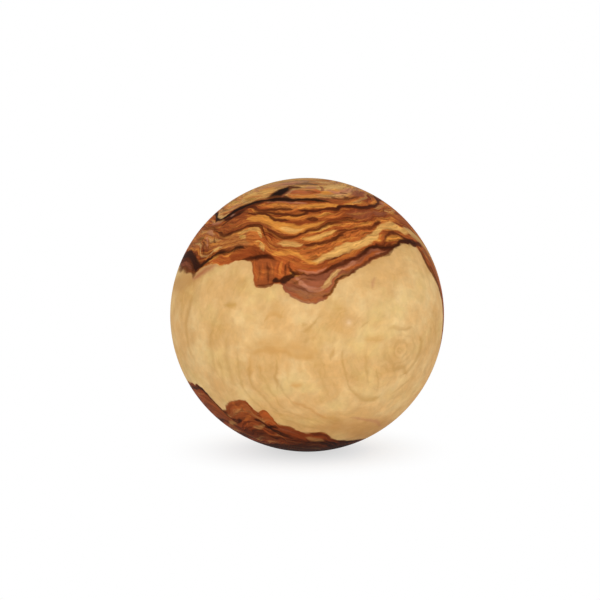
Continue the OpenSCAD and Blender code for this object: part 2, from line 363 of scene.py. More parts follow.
EDGE_FIGURE = [
    # orange teeth between the boundary line and the sapwood
    (ALONG, RUSSET, 0.85, 0.5, [(-47, 22.5, 0), (-42, 23, 1.5), (-38, 23, 1.8), (-34, 22.8, 1.2),
        (-30, 22.5, 0)]),
    (ALONG, RED_BROWN, 0.85, 0.5, [(-38, 25, 0), (-35, 24.6, 1.8), (-32, 24.8, 2.6), (-29, 24.8, 2.6),
        (-25, 25, 1.4), (-20, 26, 0)]),
    (UP, WEDGE_RED, 0.97, 0.35, [(10.9, -17.8, 0), (11.6, -17.8, 3.2), (13, -17.8, 4.1),
        (16, -18.2, 4.8), (19, -18.6, 5.4), (22, -19, 5.6), (23.5, -19, 0)]),
    (UP, RUSSET, 0.6, 0.5, [(11.8, -21.4, 0), (15, -21.8, 0.8), (18.5, -22.2, 1.0), (21, -22.6, 1.0),
        (22.8, -22.8, 0)]),
    (UP, DARK_RED, 0.5, 0.35, [(12.4, -20, 0), (15, -20.1, 0.3), (18, -20.3, 0.35), (21, -20.6, 0)]),
    (UP, RUSSET, 0.8, 0.4, [(13, -18.3, 0), (16, -18.6, 0.5), (19, -18.8, 0.5), (22, -19, 0)]),
    (UP, DARK_RED, 0.65, 0.35, [(12, -16.4, 0), (14, -16.6, 0.4), (17, -16.8, 0.45), (20, -17, 0.3),
        (22.5, -17.2, 0)]),
    (UP, ORANGE, 0.6, 0.35, [(14.5, -15, 0), (17, -15.1, 0.4), (20, -15.3, 0.4), (22.5, -15.4, 0)]),
    (ALONG, DARK_RED, 0.7, 0.4, [(-21.6, 12.4, 0), (-19.5, 12, 0.5), (-17, 12, 0.7), (-15, 12.4, 0.7),
        (-13, 13, 0)]),
    (UP, RUSSET, 0.92, 0.4, [(13.6, -11.4, 0), (15, -11.4, 2.6), (17.5, -11, 3.4), (20, -10.4, 3.6),
        (22.5, -10, 3.2), (24, -9.8, 0)]),
    (UP, BRIGHT_ORANGE, 0.75, 0.35, [(16.2, -11.6, 0), (18.5, -11.5, 0.6), (21, -11.3, 0.6),
        (23, -11, 0)]),
    (UP, RED_BROWN, 0.75, 0.35, [(14.6, -12.9, 0), (17, -12.7, 0.35), (20, -12.6, 0.4),
        (22.5, -12.5, 0)]),
    (UP, DARK_RED, 0.75, 0.4, [(15.6, -9.6, 0), (17.5, -9.4, 0.4), (20, -9, 0.5), (22.5, -8.7, 0)]),
    (UP, DARK_RED, 0.85, 0.5, [(16.4, -6.4, 0), (17.5, -6.8, 0.6), (19.5, -7.6, 0.6), (21.5, -8, 0.5),
        (23.5, -8.2, 0)]),
    # brown strip over the dip
    (ALONG, RUSSET, 0.8, 0.6, [(-9, 21.5, 0), (-5, 20.5, 1.6), (0, 18.8, 1.7), (5, 18.7, 1.6),
        (9, 20.2, 1.4), (14, 22.3, 0.9), (20, 25, 0.7), (26, 27.5, 0)]),
    (ALONG, PINK_TAN, 0.6, 0.5, [(-5, 19, 0), (-2, 17.9, 0.4), (2, 17.3, 0.5), (6, 17.9, 0.5),
        (10, 20, 0)]),
    (ALONG, BRIGHT_ORANGE, 0.6, 0.5, [(8, 21, 0), (11, 21.5, 0.5), (14, 23, 0.5), (18, 24.6, 0.5),
        (22, 25.5, 0)]),
    # mauve and brown lobe at the dip, and the strip that runs up from it to the right
    (ALONG, MAUVE, 0.92, 0.4, [(-11, 13, 0), (-8, 12, 3.4), (-4, 11, 5), (0, 10.8, 6), (4, 10.8, 6),
        (8, 12, 5.4), (12, 16, 4), (18, 19.5, 3.6), (24, 22.4, 3.2), (30, 25, 3), (36, 26.6, 2.4),
        (42, 28.3, 1.2), (46, 29.3, 0)]),
    (ALONG, GREY_BROWN, 0.35, 0.6, [(-10, 11.8, 0), (-6, 10.4, 1.2), (-2, 8.2, 1.4), (2, 7.4, 1.2),
        (6, 8, 0.8), (9, 9.6, 0)]),
    (ALONG, WEDGE_RED, 0.6, 0.5, [(-9, 9.6, 0), (-5, 7.6, 0.5), (-1, 6.2, 0.6), (3, 5.8, 0.5),
        (6, 6.8, 0)]),
    (ALONG, UMBER, 0.5, 0.35, [(-8.6, 12.4, 0), (-5, 11.6, 0.3), (-2, 9.6, 0.4), (2, 8.7, 0.4),
        (6, 9, 0.4), (9, 10.4, 0)]),
    (ALONG, PINK_TAN, 0.95, 0.5, [(-6.5, 15.6, 0), (-4.5, 14.6, 0.7), (-2.5, 12.8, 1.0),
        (-0.5, 10.9, 1.1), (1.5, 10, 1.1), (4, 9.8, 1.1), (6.5, 10.4, 1.0), (8.5, 12, 0)]),
    (ALONG, CREAM, 0.85, 0.6, [(4.5, 10, 0), (7, 11.2, 1.2), (9, 13, 1.4), (11.5, 15.4, 1.1),
        (13.5, 17, 0.7), (16.5, 18.6, 0)]),
    (ALONG, PINK_TAN, 0.85, 0.5, [(12, 16.2, 0), (15, 18.2, 0.5), (18, 20.2, 0.7), (20.5, 21.4, 0.9),
        (23, 22.2, 0)]),
    (ALONG, DARK_RED, 0.6, 0.5, [(-9, 12.6, 0), (-5, 13, 0.3), (-2, 14.6, 0.4), (2, 14.4, 0.4),
        (5, 14, 0)]),
    (ALONG, BROWN, 0.85, 0.6, [(14, 17, 0), (18, 18.6, 0.6), (23, 20.6, 0.7), (28, 23.6, 0.8),
        (32, 25.6, 0.8), (36, 26.8, 0)]),
    (ALONG, PINK_TAN, 0.6, 0.5, [(28, 26.4, 0), (31, 27.4, 0.4), (34, 27.9, 0.5), (37, 28, 0)]),
    (ALONG, PINK_TAN, 0.6, 0.5, [(31, 24.8, 0), (33.4, 25.4, 0.5), (36, 26, 0)]),
    (ALONG, DARK_BROWN, 0.85, 0.5, [(4, 6.2, 0), (7.5, 7.4, 0.5), (9.4, 8.4, 0.7), (10.6, 10.2, 0.9),
        (12, 12.6, 0.8), (15, 15.2, 0.6), (20, 17.6, 0.7), (25, 20.7, 0.7), (30, 23, 0.6),
        (34, 24.2, 0.9), (38, 25.6, 1.2), (42, 27.6, 0.8), (45, 29, 0)]),
]

LINE_FIGURE = [
    # dark line from the left limb along the boundary
    (ALONG, DARK_BROWN, 0.9, 1.2, [(-94, 23, 0), (-78, 23.4, 3.2), (-68, 22.8, 3.6), (-62, 21.4, 3.2),
        (-58, 20, 2.4), (-54, 21, 1.2), (-48, 23.6, 0.4), (-42, 26, 0.2), (-35, 27.4, 0)]),
    (ALONG, BLACK_BROWN, 0.9, 0.7, [(-92, 25, 0), (-78, 26, 1.2), (-70, 25.8, 1.5), (-65, 25, 1.6),
        (-61, 23, 1.9), (-57.5, 20.6, 2.0), (-55, 20.4, 1.3), (-52, 21.6, 1.0), (-49, 23.2, 0.7),
        (-46, 24.9, 0.5), (-43, 26.2, 0.7), (-40, 26, 0.3), (-37, 26.6, 0.3), (-34, 28, 0.6),
        (-31, 28.3, 0.4), (-28.5, 27.8, 0)]),
    (UP, UMBER, 0.7, 1.0, [(14.6, -57.6, 0), (16, -57.8, 0.7), (17.5, -58, 1.4), (19.5, -58, 0)]),
    (ALONG, MAUVE, 0.7, 0.7, [(-84, 21.4, 0), (-72, 21.6, 0.9), (-66, 20.8, 0.9), (-62, 19.4, 0.6),
        (-59, 18.4, 0)]),
    (ALONG, UMBER, 0.7, 0.8, [(-86, 19, 0), (-74, 19.2, 0.8), (-66, 18.6, 0.9), (-61, 17.6, 0)]),
    (ALONG, DARK_RED, 0.9, 0.5, [(-31, 22, 0), (-27, 22.8, 0.6), (-23, 23.5, 0.8), (-19, 24, 0.9),
        (-16, 23.7, 0.7), (-13, 22, 0)]),
    (ALONG, BLACK_BROWN, 0.6, 0.5, [(-28, 22.9, 0), (-24, 23.4, 0.4), (-19, 24, 0.5), (-16, 23.8, 0)]),
    # black spots between the tooth and the lobe, and the line over the lobe
    (ALONG, BLACK_BROWN, 0.9, 0.6, [(-15.4, 13.6, 0), (-13.4, 14, 1.1), (-11.6, 13.8, 0.5),
        (-9.4, 14.5, 1.7), (-7.6, 15.2, 1.5), (-5.8, 16.8, 0.7), (-3, 17.2, 0)]),
    (ALONG, DARK_RED, 0.8, 0.6, [(-7, 16.6, 0), (-4, 17, 0.4), (0, 16.2, 0.3), (4, 16.1, 0.3),
        (8, 17.4, 0.4), (12, 19.2, 0.7), (15, 20.8, 0.7), (19, 22.6, 0.6), (23, 24.2, 0)]),
    (ALONG, DARK_RED, 0.92, 0.6, [(14, 20.4, 0), (18, 22.4, 0.5), (22, 23.8, 0.5), (26, 25.6, 0.6),
        (30, 27.8, 0.7), (34, 28.6, 0.8), (38, 28.6, 1.2), (42, 28.8, 1.1), (46, 29.6, 0.7),
        (50, 31, 0.8), (54, 31.6, 1.2), (58, 31.6, 1.3), (62, 30.6, 1.0), (70, 30.4, 0.9), (80, 31, 0)]),
    (ALONG, BLACK_BROWN, 0.7, 0.6, [(24, 24.8, 0), (28, 27.2, 0.3), (32, 28.6, 0.4), (36, 29, 0.5),
        (40, 28.8, 0.6), (44, 29, 0.3), (49, 30.6, 0.3), (53, 32, 0.8), (57, 31.9, 0.9),
        (61, 31.2, 0.8), (68, 30, 0)]),
    (ALONG, BROWN, 0.8, 0.6, [(35, 29.8, 0), (39, 32.2, 0.7), (43, 34.6, 0.8), (47, 35.8, 0.8),
        (50, 36, 0)]),
    (ALONG, DARK_BROWN, 0.75, 0.5, [(38, 30.4, 0), (42, 33.2, 0.3), (46, 35.4, 0.4), (49.5, 35.8, 0.5),
        (52.5, 35.2, 0.4), (55.5, 33.8, 0.4), (59, 32.6, 0)]),
    # fine lines of the middle
    (ALONG, BROWN, 0.85, 0.35, [(-14, 30.6, 0), (-11, 28.3, 0.4), (-8, 27.4, 0.45), (-5, 27.2, 0.5),
        (-2, 28.3, 0.5), (2, 29.6, 0)]),
    (ALONG, DARK_RED, 0.8, 0.4, [(-3, 29, 0), (2, 29.3, 0.6), (6, 30, 0.5), (10, 31, 0.6),
        (14, 32.4, 0.6), (18, 34.6, 0.5), (22, 36.8, 0)]),
    (ALONG, DARK_BROWN, 0.8, 0.35, [(-57, 37.4, 0), (-50, 35.1, 0.5), (-46, 34.3, 0.6),
        (-42, 34.9, 0.6), (-38, 36.3, 0.7), (-34, 37.7, 0.6), (-30, 38.8, 0.6), (-26, 39, 0.6),
        (-23, 37.2, 0.6), (-21.5, 34.5, 0.6), (-20, 31, 0)]),
    (ALONG, DARK_RED, 0.8, 0.4, [(-22, 38.5, 0), (-19, 36.4, 0.5), (-15, 34, 0.6), (-11, 33, 0.8),
        (-7, 33.1, 0.7), (-3, 34.5, 0.5), (1, 35.8, 0.5), (5, 37, 0.5), (9, 38.6, 0.5), (14, 40, 0.5),
        (20, 41, 0)]),
    (ALONG, DARK_RED, 0.8, 0.5, [(-1.5, 42.2, 0), (1.5, 42.2, 0.9), (4, 42.1, 1.0), (7, 41.7, 0)]),
    (ALONG, RED_BROWN, 0.8, 0.4, [(-16, 41.2, 0), (-10, 40.4, 0.4), (-5, 40.2, 0.4), (0, 40.6, 0.4),
        (6, 41.4, 0)]),
    (ALONG, DARK_RED, 0.85, 0.4, [(-40, 46.5, 0), (-34, 46, 0.4), (-29, 45.9, 0.5), (-24, 45.2, 0.5),
        (-20, 43.1, 0.6), (-17, 42, 0.6), (-13, 41.6, 0.5), (-9, 41.2, 0)]),
    # the upper line and its branch
    (ALONG, DARK_RED, 0.85, 0.4, [(-44, 49.4, 0), (-40, 50.2, 0.6), (-35, 49.8, 0.6), (-30, 48.8, 0.5),
        (-24, 48.2, 0.5), (-18, 48.4, 0.5), (-12, 48.6, 0.5), (-7, 48.8, 0)]),
    (ALONG, DARK_RED, 0.85, 0.4, [(-36, 47.6, 0), (-30, 47.2, 0.4), (-24, 46.6, 0.5), (-18, 45.8, 0.6),
        (-12, 45.2, 0.6), (-6, 44.6, 0.6), (-2, 45.4, 0.6), (2, 46.6, 0.5), (5, 47.2, 0)]),
    (ALONG, DARK_RED, 0.95, 0.45, [(-8, 48, 0), (-3, 47.4, 0.5), (1, 46.8, 0.7), (5, 47.2, 0.7),
        (9, 47.9, 0.6), (14, 48.2, 0.6), (18, 48.4, 0.9), (20, 49.4, 1.2), (22.5, 50.4, 0.9),
        (27, 50.4, 1.0), (32, 50.2, 1.1), (38, 49.8, 1.0), (43, 50, 1.0), (47, 50.9, 1.0),
        (51, 51.8, 0.8), (55, 52.7, 0.7), (59, 53.8, 0.7), (63, 55.6, 0.9), (69, 57, 1.3),
        (78, 57.2, 0)]),
    (ALONG, BLACK_BROWN, 0.6, 0.5, [(16, 48.2, 0), (19.5, 49.2, 0.5), (24, 50.4, 0.2), (31, 50.2, 0.4),
        (38, 49.7, 0.4), (45, 50.6, 0.5), (52, 52, 0.2), (60, 54.2, 0)]),
    (ALONG, DARK_BROWN, 0.8, 0.4, [(-53, 39, 0), (-51, 40.3, 0.6), (-49, 42.2, 0.8), (-47, 44.3, 0.8),
        (-44.5, 46.6, 0.6), (-42, 48.5, 0)]),
    # black knot at the back of the black line
    (ALONG, DARK_BROWN, 0.85, 0.8, [(-24, 65.6, 0), (-20, 66.6, 1.0), (-16, 66.6, 1.1),
        (-12, 66.2, 0.8), (-8, 65.8, 0.5), (-3, 65.4, 0)]),
    (ALONG, GREY_BROWN, 0.7, 0.8, [(-12, 68.6, 0), (-8, 69.8, 0.6), (-4, 71, 1.1), (0, 71.3, 1.1),
        (4, 70.6, 0.8), (8, 69.4, 0.6), (14, 67.2, 0)]),
    (UP, UMBER, 0.85, 2.4, [(53, -25, 0), (56.4, -25, 4.6), (60, -24.2, 5.8), (63, -22.6, 5.8),
        (65.6, -20.4, 4.6), (69, -17, 0)]),
    (UP, BLACK, 0.95, 2.0, [(54, -25, 0), (57, -25, 3.4), (60, -24.2, 4.6), (62.6, -23.2, 4.6),
        (65, -21.4, 3.2), (67.8, -19, 0)]),
    (ALONG, UMBER, 0.8, 0.9, [(-33, 56, 0), (-29, 56.4, 1.0), (-24, 56.8, 1.4), (-19, 56.6, 1.0),
        (-14, 56.2, 0.6), (-9, 55.6, 0)]),
    (UP, MAUVE, 0.7, 0.7, [(55.6, -18.6, 0), (57.6, -19.2, 0.8), (59.4, -18.4, 0.7), (61.2, -17.4, 0)]),
    # dark wood under the black line on the left
    (ALONG, DARK_RED, 0.88, 1.2, [(-61, 43.6, 0), (-56, 44.4, 1.0), (-52, 45.2, 2.4), (-48, 46.8, 3.0),
        (-44, 49, 2.6), (-40, 50.6, 1.8), (-35, 52, 1.0), (-29, 53, 0)]),
    (ALONG, BLACK_BROWN, 0.8, 0.7, [(-55, 43.4, 0), (-52, 43.2, 0.7), (-49, 43.4, 0.8),
        (-46, 44.6, 0.7), (-43, 46.4, 0.6), (-40, 48.4, 0)]),
    (ALONG, MUSHROOM, 0.7, 0.5, [(-51.5, 45, 0), (-49, 45.6, 0.7), (-46.5, 46.4, 0)]),
    # the strong black line
    (ALONG, BLACK, 0.92, 0.6, [(-86, 47.8, 0), (-74, 46.8, 0.8), (-66, 45, 0.9), (-61, 43.5, 0.8),
        (-57, 43.8, 0.9), (-54, 45.8, 1.2), (-51, 48, 1.6), (-47, 50.2, 1.7), (-43, 51.8, 1.3),
        (-39, 52.8, 1.0), (-34, 53.5, 0.8), (-28, 54.4, 1.0), (-24, 54.8, 1.4), (-19, 55.2, 1.4),
        (-14, 55.2, 1.4), (-9, 55, 0.9), (-3, 55, 0.8), (2, 54.9, 0.8), (7, 54.4, 0.8),
        (12, 53.6, 0.4), (20, 52.4, 0)]),
    (ALONG, CREAM, 0.75, 0.4, [(-76, 49.2, 0), (-68, 47.2, 0.5), (-63, 45.3, 0.6), (-58, 44.7, 0.5),
        (-56, 46, 0.4), (-54, 48.6, 0)]),
    # heartwood at the right limb
    (ALONG, WEDGE_RED, 0.75, 0.8, [(56, 46, 0), (61, 44.4, 1.0), (66, 42.8, 1.4), (70, 41.2, 1.2),
        (75, 38.6, 0)]),
    (ALONG, CREAM, 0.75, 0.8, [(60, 39.6, 0), (64, 37.8, 1.0), (68, 36, 2.0), (72, 34.2, 2.6),
        (78, 30, 2.4), (86, 21, 0)]),
    (ALONG, TAN, 0.6, 0.8, [(62, 34.4, 0), (68, 33.6, 1.0), (74, 29, 1.2), (80, 21, 1.0), (86, 11, 0)]),
    (ALONG, GREY_BROWN, 0.6, 0.8, [(67, 27.6, 0), (71, 26.4, 1.0), (75, 22, 1.2), (80, 13, 1.0),
        (85, 3, 0)]),
    (ALONG, WEDGE_RED, 0.8, 0.8, [(66, 24.2, 0), (70, 23, 0.8), (75, 17.4, 1.0), (80, 8, 0.8),
        (84, -1, 0)]),
    (ALONG, DARK_BROWN, 0.7, 0.8, [(68, 21.2, 0), (72, 18.6, 0.9), (76, 13.4, 0.9), (80, 4, 0.8),
        (84, -7, 0)]),
    (UP, UMBER, 0.85, 0.5, [(-14, 81.8, 0), (-5, 80.8, 0.5), (2, 79.8, 0.6), (7, 78.4, 0.8),
        (11, 76.4, 0.9), (15, 73.4, 0.9), (18, 70.4, 1.1), (21, 68, 1.1), (25, 66.6, 0.9),
        (28.5, 65, 0)]),
]

LOWER_FIGURE = [
    (ALONG, WEDGE_RED, 0.7, 1.0, [(-100, -40, 0), (-80, -40, 8), (-66, -41, 8), (-58, -46, 5),
        (-52, -50, 0)]),
    # red-brown teeth
    (ALONG, WEDGE_RED, 0.85, 0.6, [(-54, -45.5, 0), (-50, -44.8, 3.2), (-46, -43.5, 4.6),
        (-42, -43, 5.6), (-38, -42.8, 6), (-35, -43.5, 5.6), (-33, -45.5, 4.6), (-30, -47.5, 3),
        (-27, -48, 0)]),
    (ALONG, ORANGE, 0.6, 0.6, [(-45, -49, 0), (-40, -47.6, 0.9), (-36, -45.8, 0.8), (-33, -44, 0)]),
    (UP, ORANGE, 0.5, 0.5, [(-45, -41, 0), (-42, -41.4, 0.6), (-39, -41.8, 0.6), (-37, -42, 0)]),
    (UP, RUSSET, 0.6, 0.5, [(-46, -37, 0), (-43, -37.4, 0.6), (-40, -37.6, 0.6), (-38, -37.8, 0)]),
    (ALONG, RUSSET, 0.6, 0.4, [(-46, -42.8, 0), (-41, -41, 0.5), (-38, -39.5, 0.4), (-35, -38, 0)]),
    (ALONG, DARK_BROWN, 0.45, 0.4, [(-47, -45.5, 0), (-43, -43.5, 0.4), (-39, -41.5, 0.4),
        (-36, -39.8, 0)]),
    (UP, RUSSET, 0.9, 0.4, [(-51.5, -23, 0), (-50, -23.5, 3.4), (-47.5, -24, 3.2), (-45, -24.4, 3),
        (-43, -24.5, 1.9), (-42, -24.3, 0)]),
    # brown wood under the edge, and its light flecks
    (ALONG, RED_BROWN, 0.75, 0.8, [(-24, -55, 0), (-18, -54.5, 3), (-10, -57, 3.5), (0, -60, 3.2),
        (10, -60, 2.6), (20, -62, 2), (28, -64, 1.2), (36, -65, 0)]),
    (ALONG, MAUVE, 0.6, 0.8, [(-24, -54, 0), (-18, -54.6, 1.2), (-12, -56, 1), (-6, -58, 0)]),
    (ALONG, TAN, 0.6, 1.4, [(-3, -60.6, 0), (3, -62, 1.6), (9, -63.3, 2.2), (14, -64, 1.6),
        (20, -64.5, 0)]),
    (ALONG, TAN, 0.75, 0.9, [(-68, -52, 0), (-60, -51.2, 1.2), (-55, -50.9, 1.1), (-51, -51.3, 0)]),
    (ALONG, TAN, 0.65, 0.9, [(-42, -53.8, 0), (-36, -53.2, 1.1), (-32, -52.2, 1.1), (-28.5, -51.2, 0)]),
    (ALONG, RUSSET, 0.7, 0.7, [(-40, -59, 0), (-32, -58.6, 0.9), (-24, -60, 0.9), (-16, -62.6, 0)]),
    (ALONG, RED_BROWN, 0.7, 0.8, [(-30, -64.6, 0), (-18, -66.4, 0.9), (-6, -68.6, 1.0), (8, -72, 0.8),
        (20, -74, 0)]),
    # near-black wood at the bottom of the ball, partly the heartwood's own dark tone and partly painted
    # shade on the underside
    (ALONG, BLACK_BROWN, 0.85, 2.5, [(-112, -80, 0), (-70, -77, 7), (-20, -76, 9), (20, -76, 11),
        (60, -76, 11), (112, -78, 0)]),
    (ALONG, DARK_BROWN, 0.6, 1.0, [(-80, -62, 0), (-60, -60, 2.5), (-45, -60, 3.5), (-30, -61.5, 3),
        (-15, -64.5, 2), (-4, -66, 0)]),
    # dark lines
    (UP, DARK_BROWN, 0.85, 0.5, [(-53, -51.5, 0), (-50, -52.8, 1.1), (-46.5, -54.5, 1.2),
        (-43.5, -56, 1.1), (-40, -57.6, 1.0), (-36.5, -59.2, 0.9), (-33.5, -61, 0.8), (-30.5, -64, 0)]),
    (ALONG, BLACK_BROWN, 0.9, 0.5, [(-36, -47.5, 0), (-33.5, -48.2, 0.9), (-31, -49, 1.2),
        (-28.5, -51.6, 1.5), (-26, -54.3, 1.6), (-23, -56.5, 1.6), (-20, -58.5, 1.5), (-17, -60, 1.3),
        (-14, -61, 0.9), (-10, -61.6, 0)]),
    (ALONG, DARK_BROWN, 0.8, 0.5, [(-3, -60.5, 0), (1, -63.5, 0.7), (4, -66.3, 0.9), (8, -69, 1),
        (14, -69.8, 0.9), (20, -69, 0.8), (26, -68, 0)]),
    (ALONG, DARK_BROWN, 0.6, 0.6, [(0, -58.6, 0), (6, -58.2, 0.6), (12, -58.4, 0.8), (18, -60.5, 0.9),
        (26, -63.5, 1.1), (36, -66, 1.2), (48, -66, 0)]),
]

# Faint growth lines, drips and tints of the sapwood
SAP_FIGURE = [
    # tan wood next to the heartwood
    (ALONG, TAN, 0.7, 2.5, [(-90, 13, 0), (-75, 13, 3.5), (-62, 13.5, 3), (-54, 15.5, 2), (-47, 18, 1),
        (-40, 19, 0)]),
    (ALONG, PINK_TAN, 0.65, 1.2, [(-60, 14.4, 0), (-55, 16.2, 1.3), (-50, 18.4, 1.7), (-45, 20, 1.3),
        (-39, 21, 0)]),
    (ALONG, BROWN, 0.45, 0.8, [(-58, 15, 0), (-54, 16.4, 0.6), (-50, 18.4, 0.8), (-46, 20, 0.6),
        (-42, 21, 0)]),
    (ALONG, TAN, 0.55, 3.5, [(-5, -53, 0), (15, -53, 3), (35, -54, 5), (55, -56, 7), (75, -56, 6),
        (95, -52, 0)]),
    # tan blot across the middle, and the drips under it
    (ALONG, SAP_BLOT, 0.45, 3.0, [(-31, -12, 0), (-22, -12.5, 2.5), (-14, -12.5, 3.5), (-6, -13.5, 3),
        (2, -15, 2), (9, -16, 0)]),
    (ALONG, SAP_BLOT, 0.5, 1.4, [(-28, -15, 0), (-22, -15.2, 1.0), (-16, -14.6, 1.4), (-10, -15, 1.3),
        (-5, -17, 1.2), (0, -17.6, 1.2), (5, -17, 0)]),
    (UP, SAP_BLOT, 0.4, 1.2, [(-32, -26.5, 0), (-25, -26, 0.8), (-19, -25, 1.0), (-14, -24, 0)]),
    (UP, SAP_BLOT, 0.35, 1.0, [(-28, -21, 0), (-23, -20.6, 0.6), (-17, -20, 0)]),
    (UP, SAP_LINE, 0.55, 0.7, [(-35, -14.8, 0), (-28, -14.2, 0.5), (-22, -13.6, 0.6), (-16, -13.4, 0)]),
    (UP, SAP_BLOT, 0.35, 1.0, [(-29, -9, 0), (-24, -8.6, 0.7), (-17, -8, 0)]),
    (UP, SAP_BLOT, 0.3, 1.0, [(-27, -3, 0), (-22, -3, 0.7), (-17, -2.5, 0)]),
    (ALONG, SAP_BLOT, 0.5, 0.9, [(-19, -5, 0), (-17, -1.6, 0.7), (-15, 0, 0.9), (-11.5, 0, 0.8),
        (-8, -1.5, 0)]),
    # arcs and flecks round the eye
    (UP, SAP_LINE, 0.5, 1.0, [(-27, 45, 0), (-24, 50, 1.0), (-20, 54, 1.2), (-15, 56, 1.0),
        (-10, 55, 0.6), (-6, 52, 0)]),
    (ALONG, SAP_LINE, 0.5, 1.0, [(39, -21, 0), (42, -22, 1.2), (46, -22, 1.2), (50, -24, 0.8),
        (53, -25, 0)]),
    (ALONG, SAP_LINE, 0.45, 0.9, [(33, -6.2, 0), (38, -5.4, 0.7), (45, -5.2, 0.8), (52, -6.5, 0)]),
    (UP, SAP_LINE, 0.5, 0.8, [(-32, 21, 0), (-27, 18.6, 0.6), (-22, 15.8, 0.7), (-17, 15.2, 0.7),
        (-11, 15, 0)]),
    (ALONG, SAP_LINE, 0.5, 0.9, [(18, -27, 0), (21, -31, 0.6), (25, -34.2, 0.8), (30, -36, 1.2),
        (36, -36, 1.3), (41, -34, 0)]),
    (UP, SAP_LINE, 0.4, 0.9, [(-31, 30.5, 0), (-26, 27.6, 0.7), (-20, 26, 0.8), (-13, 25, 0)]),
    (UP, SAP_LINE, 0.4, 0.8, [(-32, 37, 0), (-29, 35.5, 0.5), (-25, 33, 0.5), (-21, 31.5, 0)]),
    (UP, SAP_LINE, 0.55, 0.8, [(-20, 9.6, 0), (-16, 10.4, 0.8), (-12, 11, 0)]),
    # wide arcs on the left
    (UP, SAP_LINE, 0.45, 0.9, [(-46, -12, 0), (-41, -18, 0.6), (-36, -22, 0.7), (-30, -25.4, 0.7),
        (-24, -26.2, 0.8), (-18, -25, 0)]),
    (UP, SAP_LINE, 0.35, 0.9, [(-46, -5, 0), (-41, -11.5, 0.5), (-36, -15.8, 0.6), (-30, -18.6, 0.6),
        (-24, -19.6, 0)]),
    (UP, SAP_LINE, 0.4, 1.1, [(-34, -33, 0), (-28, -36, 0.8), (-20, -36.6, 1.1), (-12, -35.6, 0.8),
        (-4, -32, 0)]),
    (UP, SAP_LINE, 0.35, 1.0, [(-30, -42, 0), (-22, -44.6, 0.8), (-12, -44, 0.8), (-3, -41, 0)]),
    (UP, SAP_LINE, 0.4, 1.1, [(-22, -57, 0), (-12, -60, 1.2), (-4, -59.4, 1.2), (4, -57, 0.9),
        (11, -52, 0)]),
    (UP, SAP_LINE, 0.35, 0.8, [(-45, 1, 0), (-40, -5.4, 0.4), (-34, -10.4, 0.5), (-28, -13.8, 0.5),
        (-21, -15.4, 0)]),
    (UP, SAP_LINE, 0.35, 0.9, [(-49, -18, 0), (-43, -24, 0.5), (-37, -28.6, 0.6), (-30, -31.4, 0.7),
        (-22, -31.6, 0.7), (-14, -29.6, 0)]),
    (UP, SAP_LINE, 0.3, 0.9, [(-38, -38.6, 0), (-31, -42, 0.6), (-23, -41.2, 0.8), (-14, -40, 0)]),
    (ALONG, SAP_LINE, 0.4, 0.8, [(-17, -40.6, 0), (-10, -43.4, 0.5), (-2, -46.2, 0.6), (6, -48.8, 0.5),
        (15, -51, 0)]),
    (ALONG, SAP_LINE, 0.4, 0.8, [(-20, -46, 0), (-13, -48.4, 0.5), (-5, -50.8, 0.6), (4, -53.2, 0.5),
        (12, -54.6, 0)]),
    (UP, SAP_LINE, 0.35, 0.8, [(-37, 12, 0), (-32, 8.8, 0.5), (-26, 6.6, 0.5), (-19, 6, 0)]),
    (ALONG, SAP_LINE, 0.35, 0.9, [(44, -35, 0), (49, -32.4, 0.7), (54, -28.4, 0.8), (57.6, -23, 0)]),
    # strokes under the dip of the heartwood
    (ALONG, SAP_LINE, 0.6, 0.8, [(-4, -7.2, 0), (0, -5.4, 0.6), (3, -3.2, 0.6), (6.5, 0.4, 0)]),
    (ALONG, SAP_LINE, 0.5, 0.7, [(-2.5, -4.4, 0), (-1, -3.7, 0.6), (1.5, -3.4, 0)]),
    (ALONG, SAP_LINE, 0.5, 0.7, [(20.5, -6, 0), (23.5, -3.8, 0.5), (27.5, -1, 0)]),
    (UP, PINK_TAN, 0.4, 0.8, [(9, 27.6, 0), (13, 28.4, 0.8), (17.5, 29, 0)]),
    # growth lines that fall to the right, low on the ball
    (ALONG, SAP_FALL_LINE, 0.5, 0.9, [(-9, -36.4, 0), (-5, -38.8, 0.7), (0, -41, 0.6), (5, -43.6, 0.8),
        (10, -46, 0.6), (18, -48, 0)]),
    (ALONG, PINK_TAN, 0.45, 0.9, [(20, -46, 0), (32, -47.4, 0.6), (44, -49, 0.9), (56, -51.6, 0.8),
        (70, -54.6, 0)]),
    # small stains
    (ALONG, SAP_OLIVE_STAIN, 0.6, 1.5, [(-37, 3.8, 0), (-34.6, 3.8, 0.8), (-32.6, 3.8, 1.3),
        (-30.6, 4, 0.8), (-28.6, 4, 0)]),
    (ALONG, SAP_ORANGE_STAIN, 0.55, 1.6, [(-9, -29.4, 0), (-6.6, -29.4, 0.8), (-4.6, -29.6, 1.4),
        (-2.6, -29.4, 0.6), (-0.6, -29.2, 0)]),
    (ALONG, SAP_BROWN_STAIN, 0.45, 1.8, [(22, -10, 0), (26, -10, 1.4), (31, -9.8, 1.2), (36, -9.6, 0)]),
]

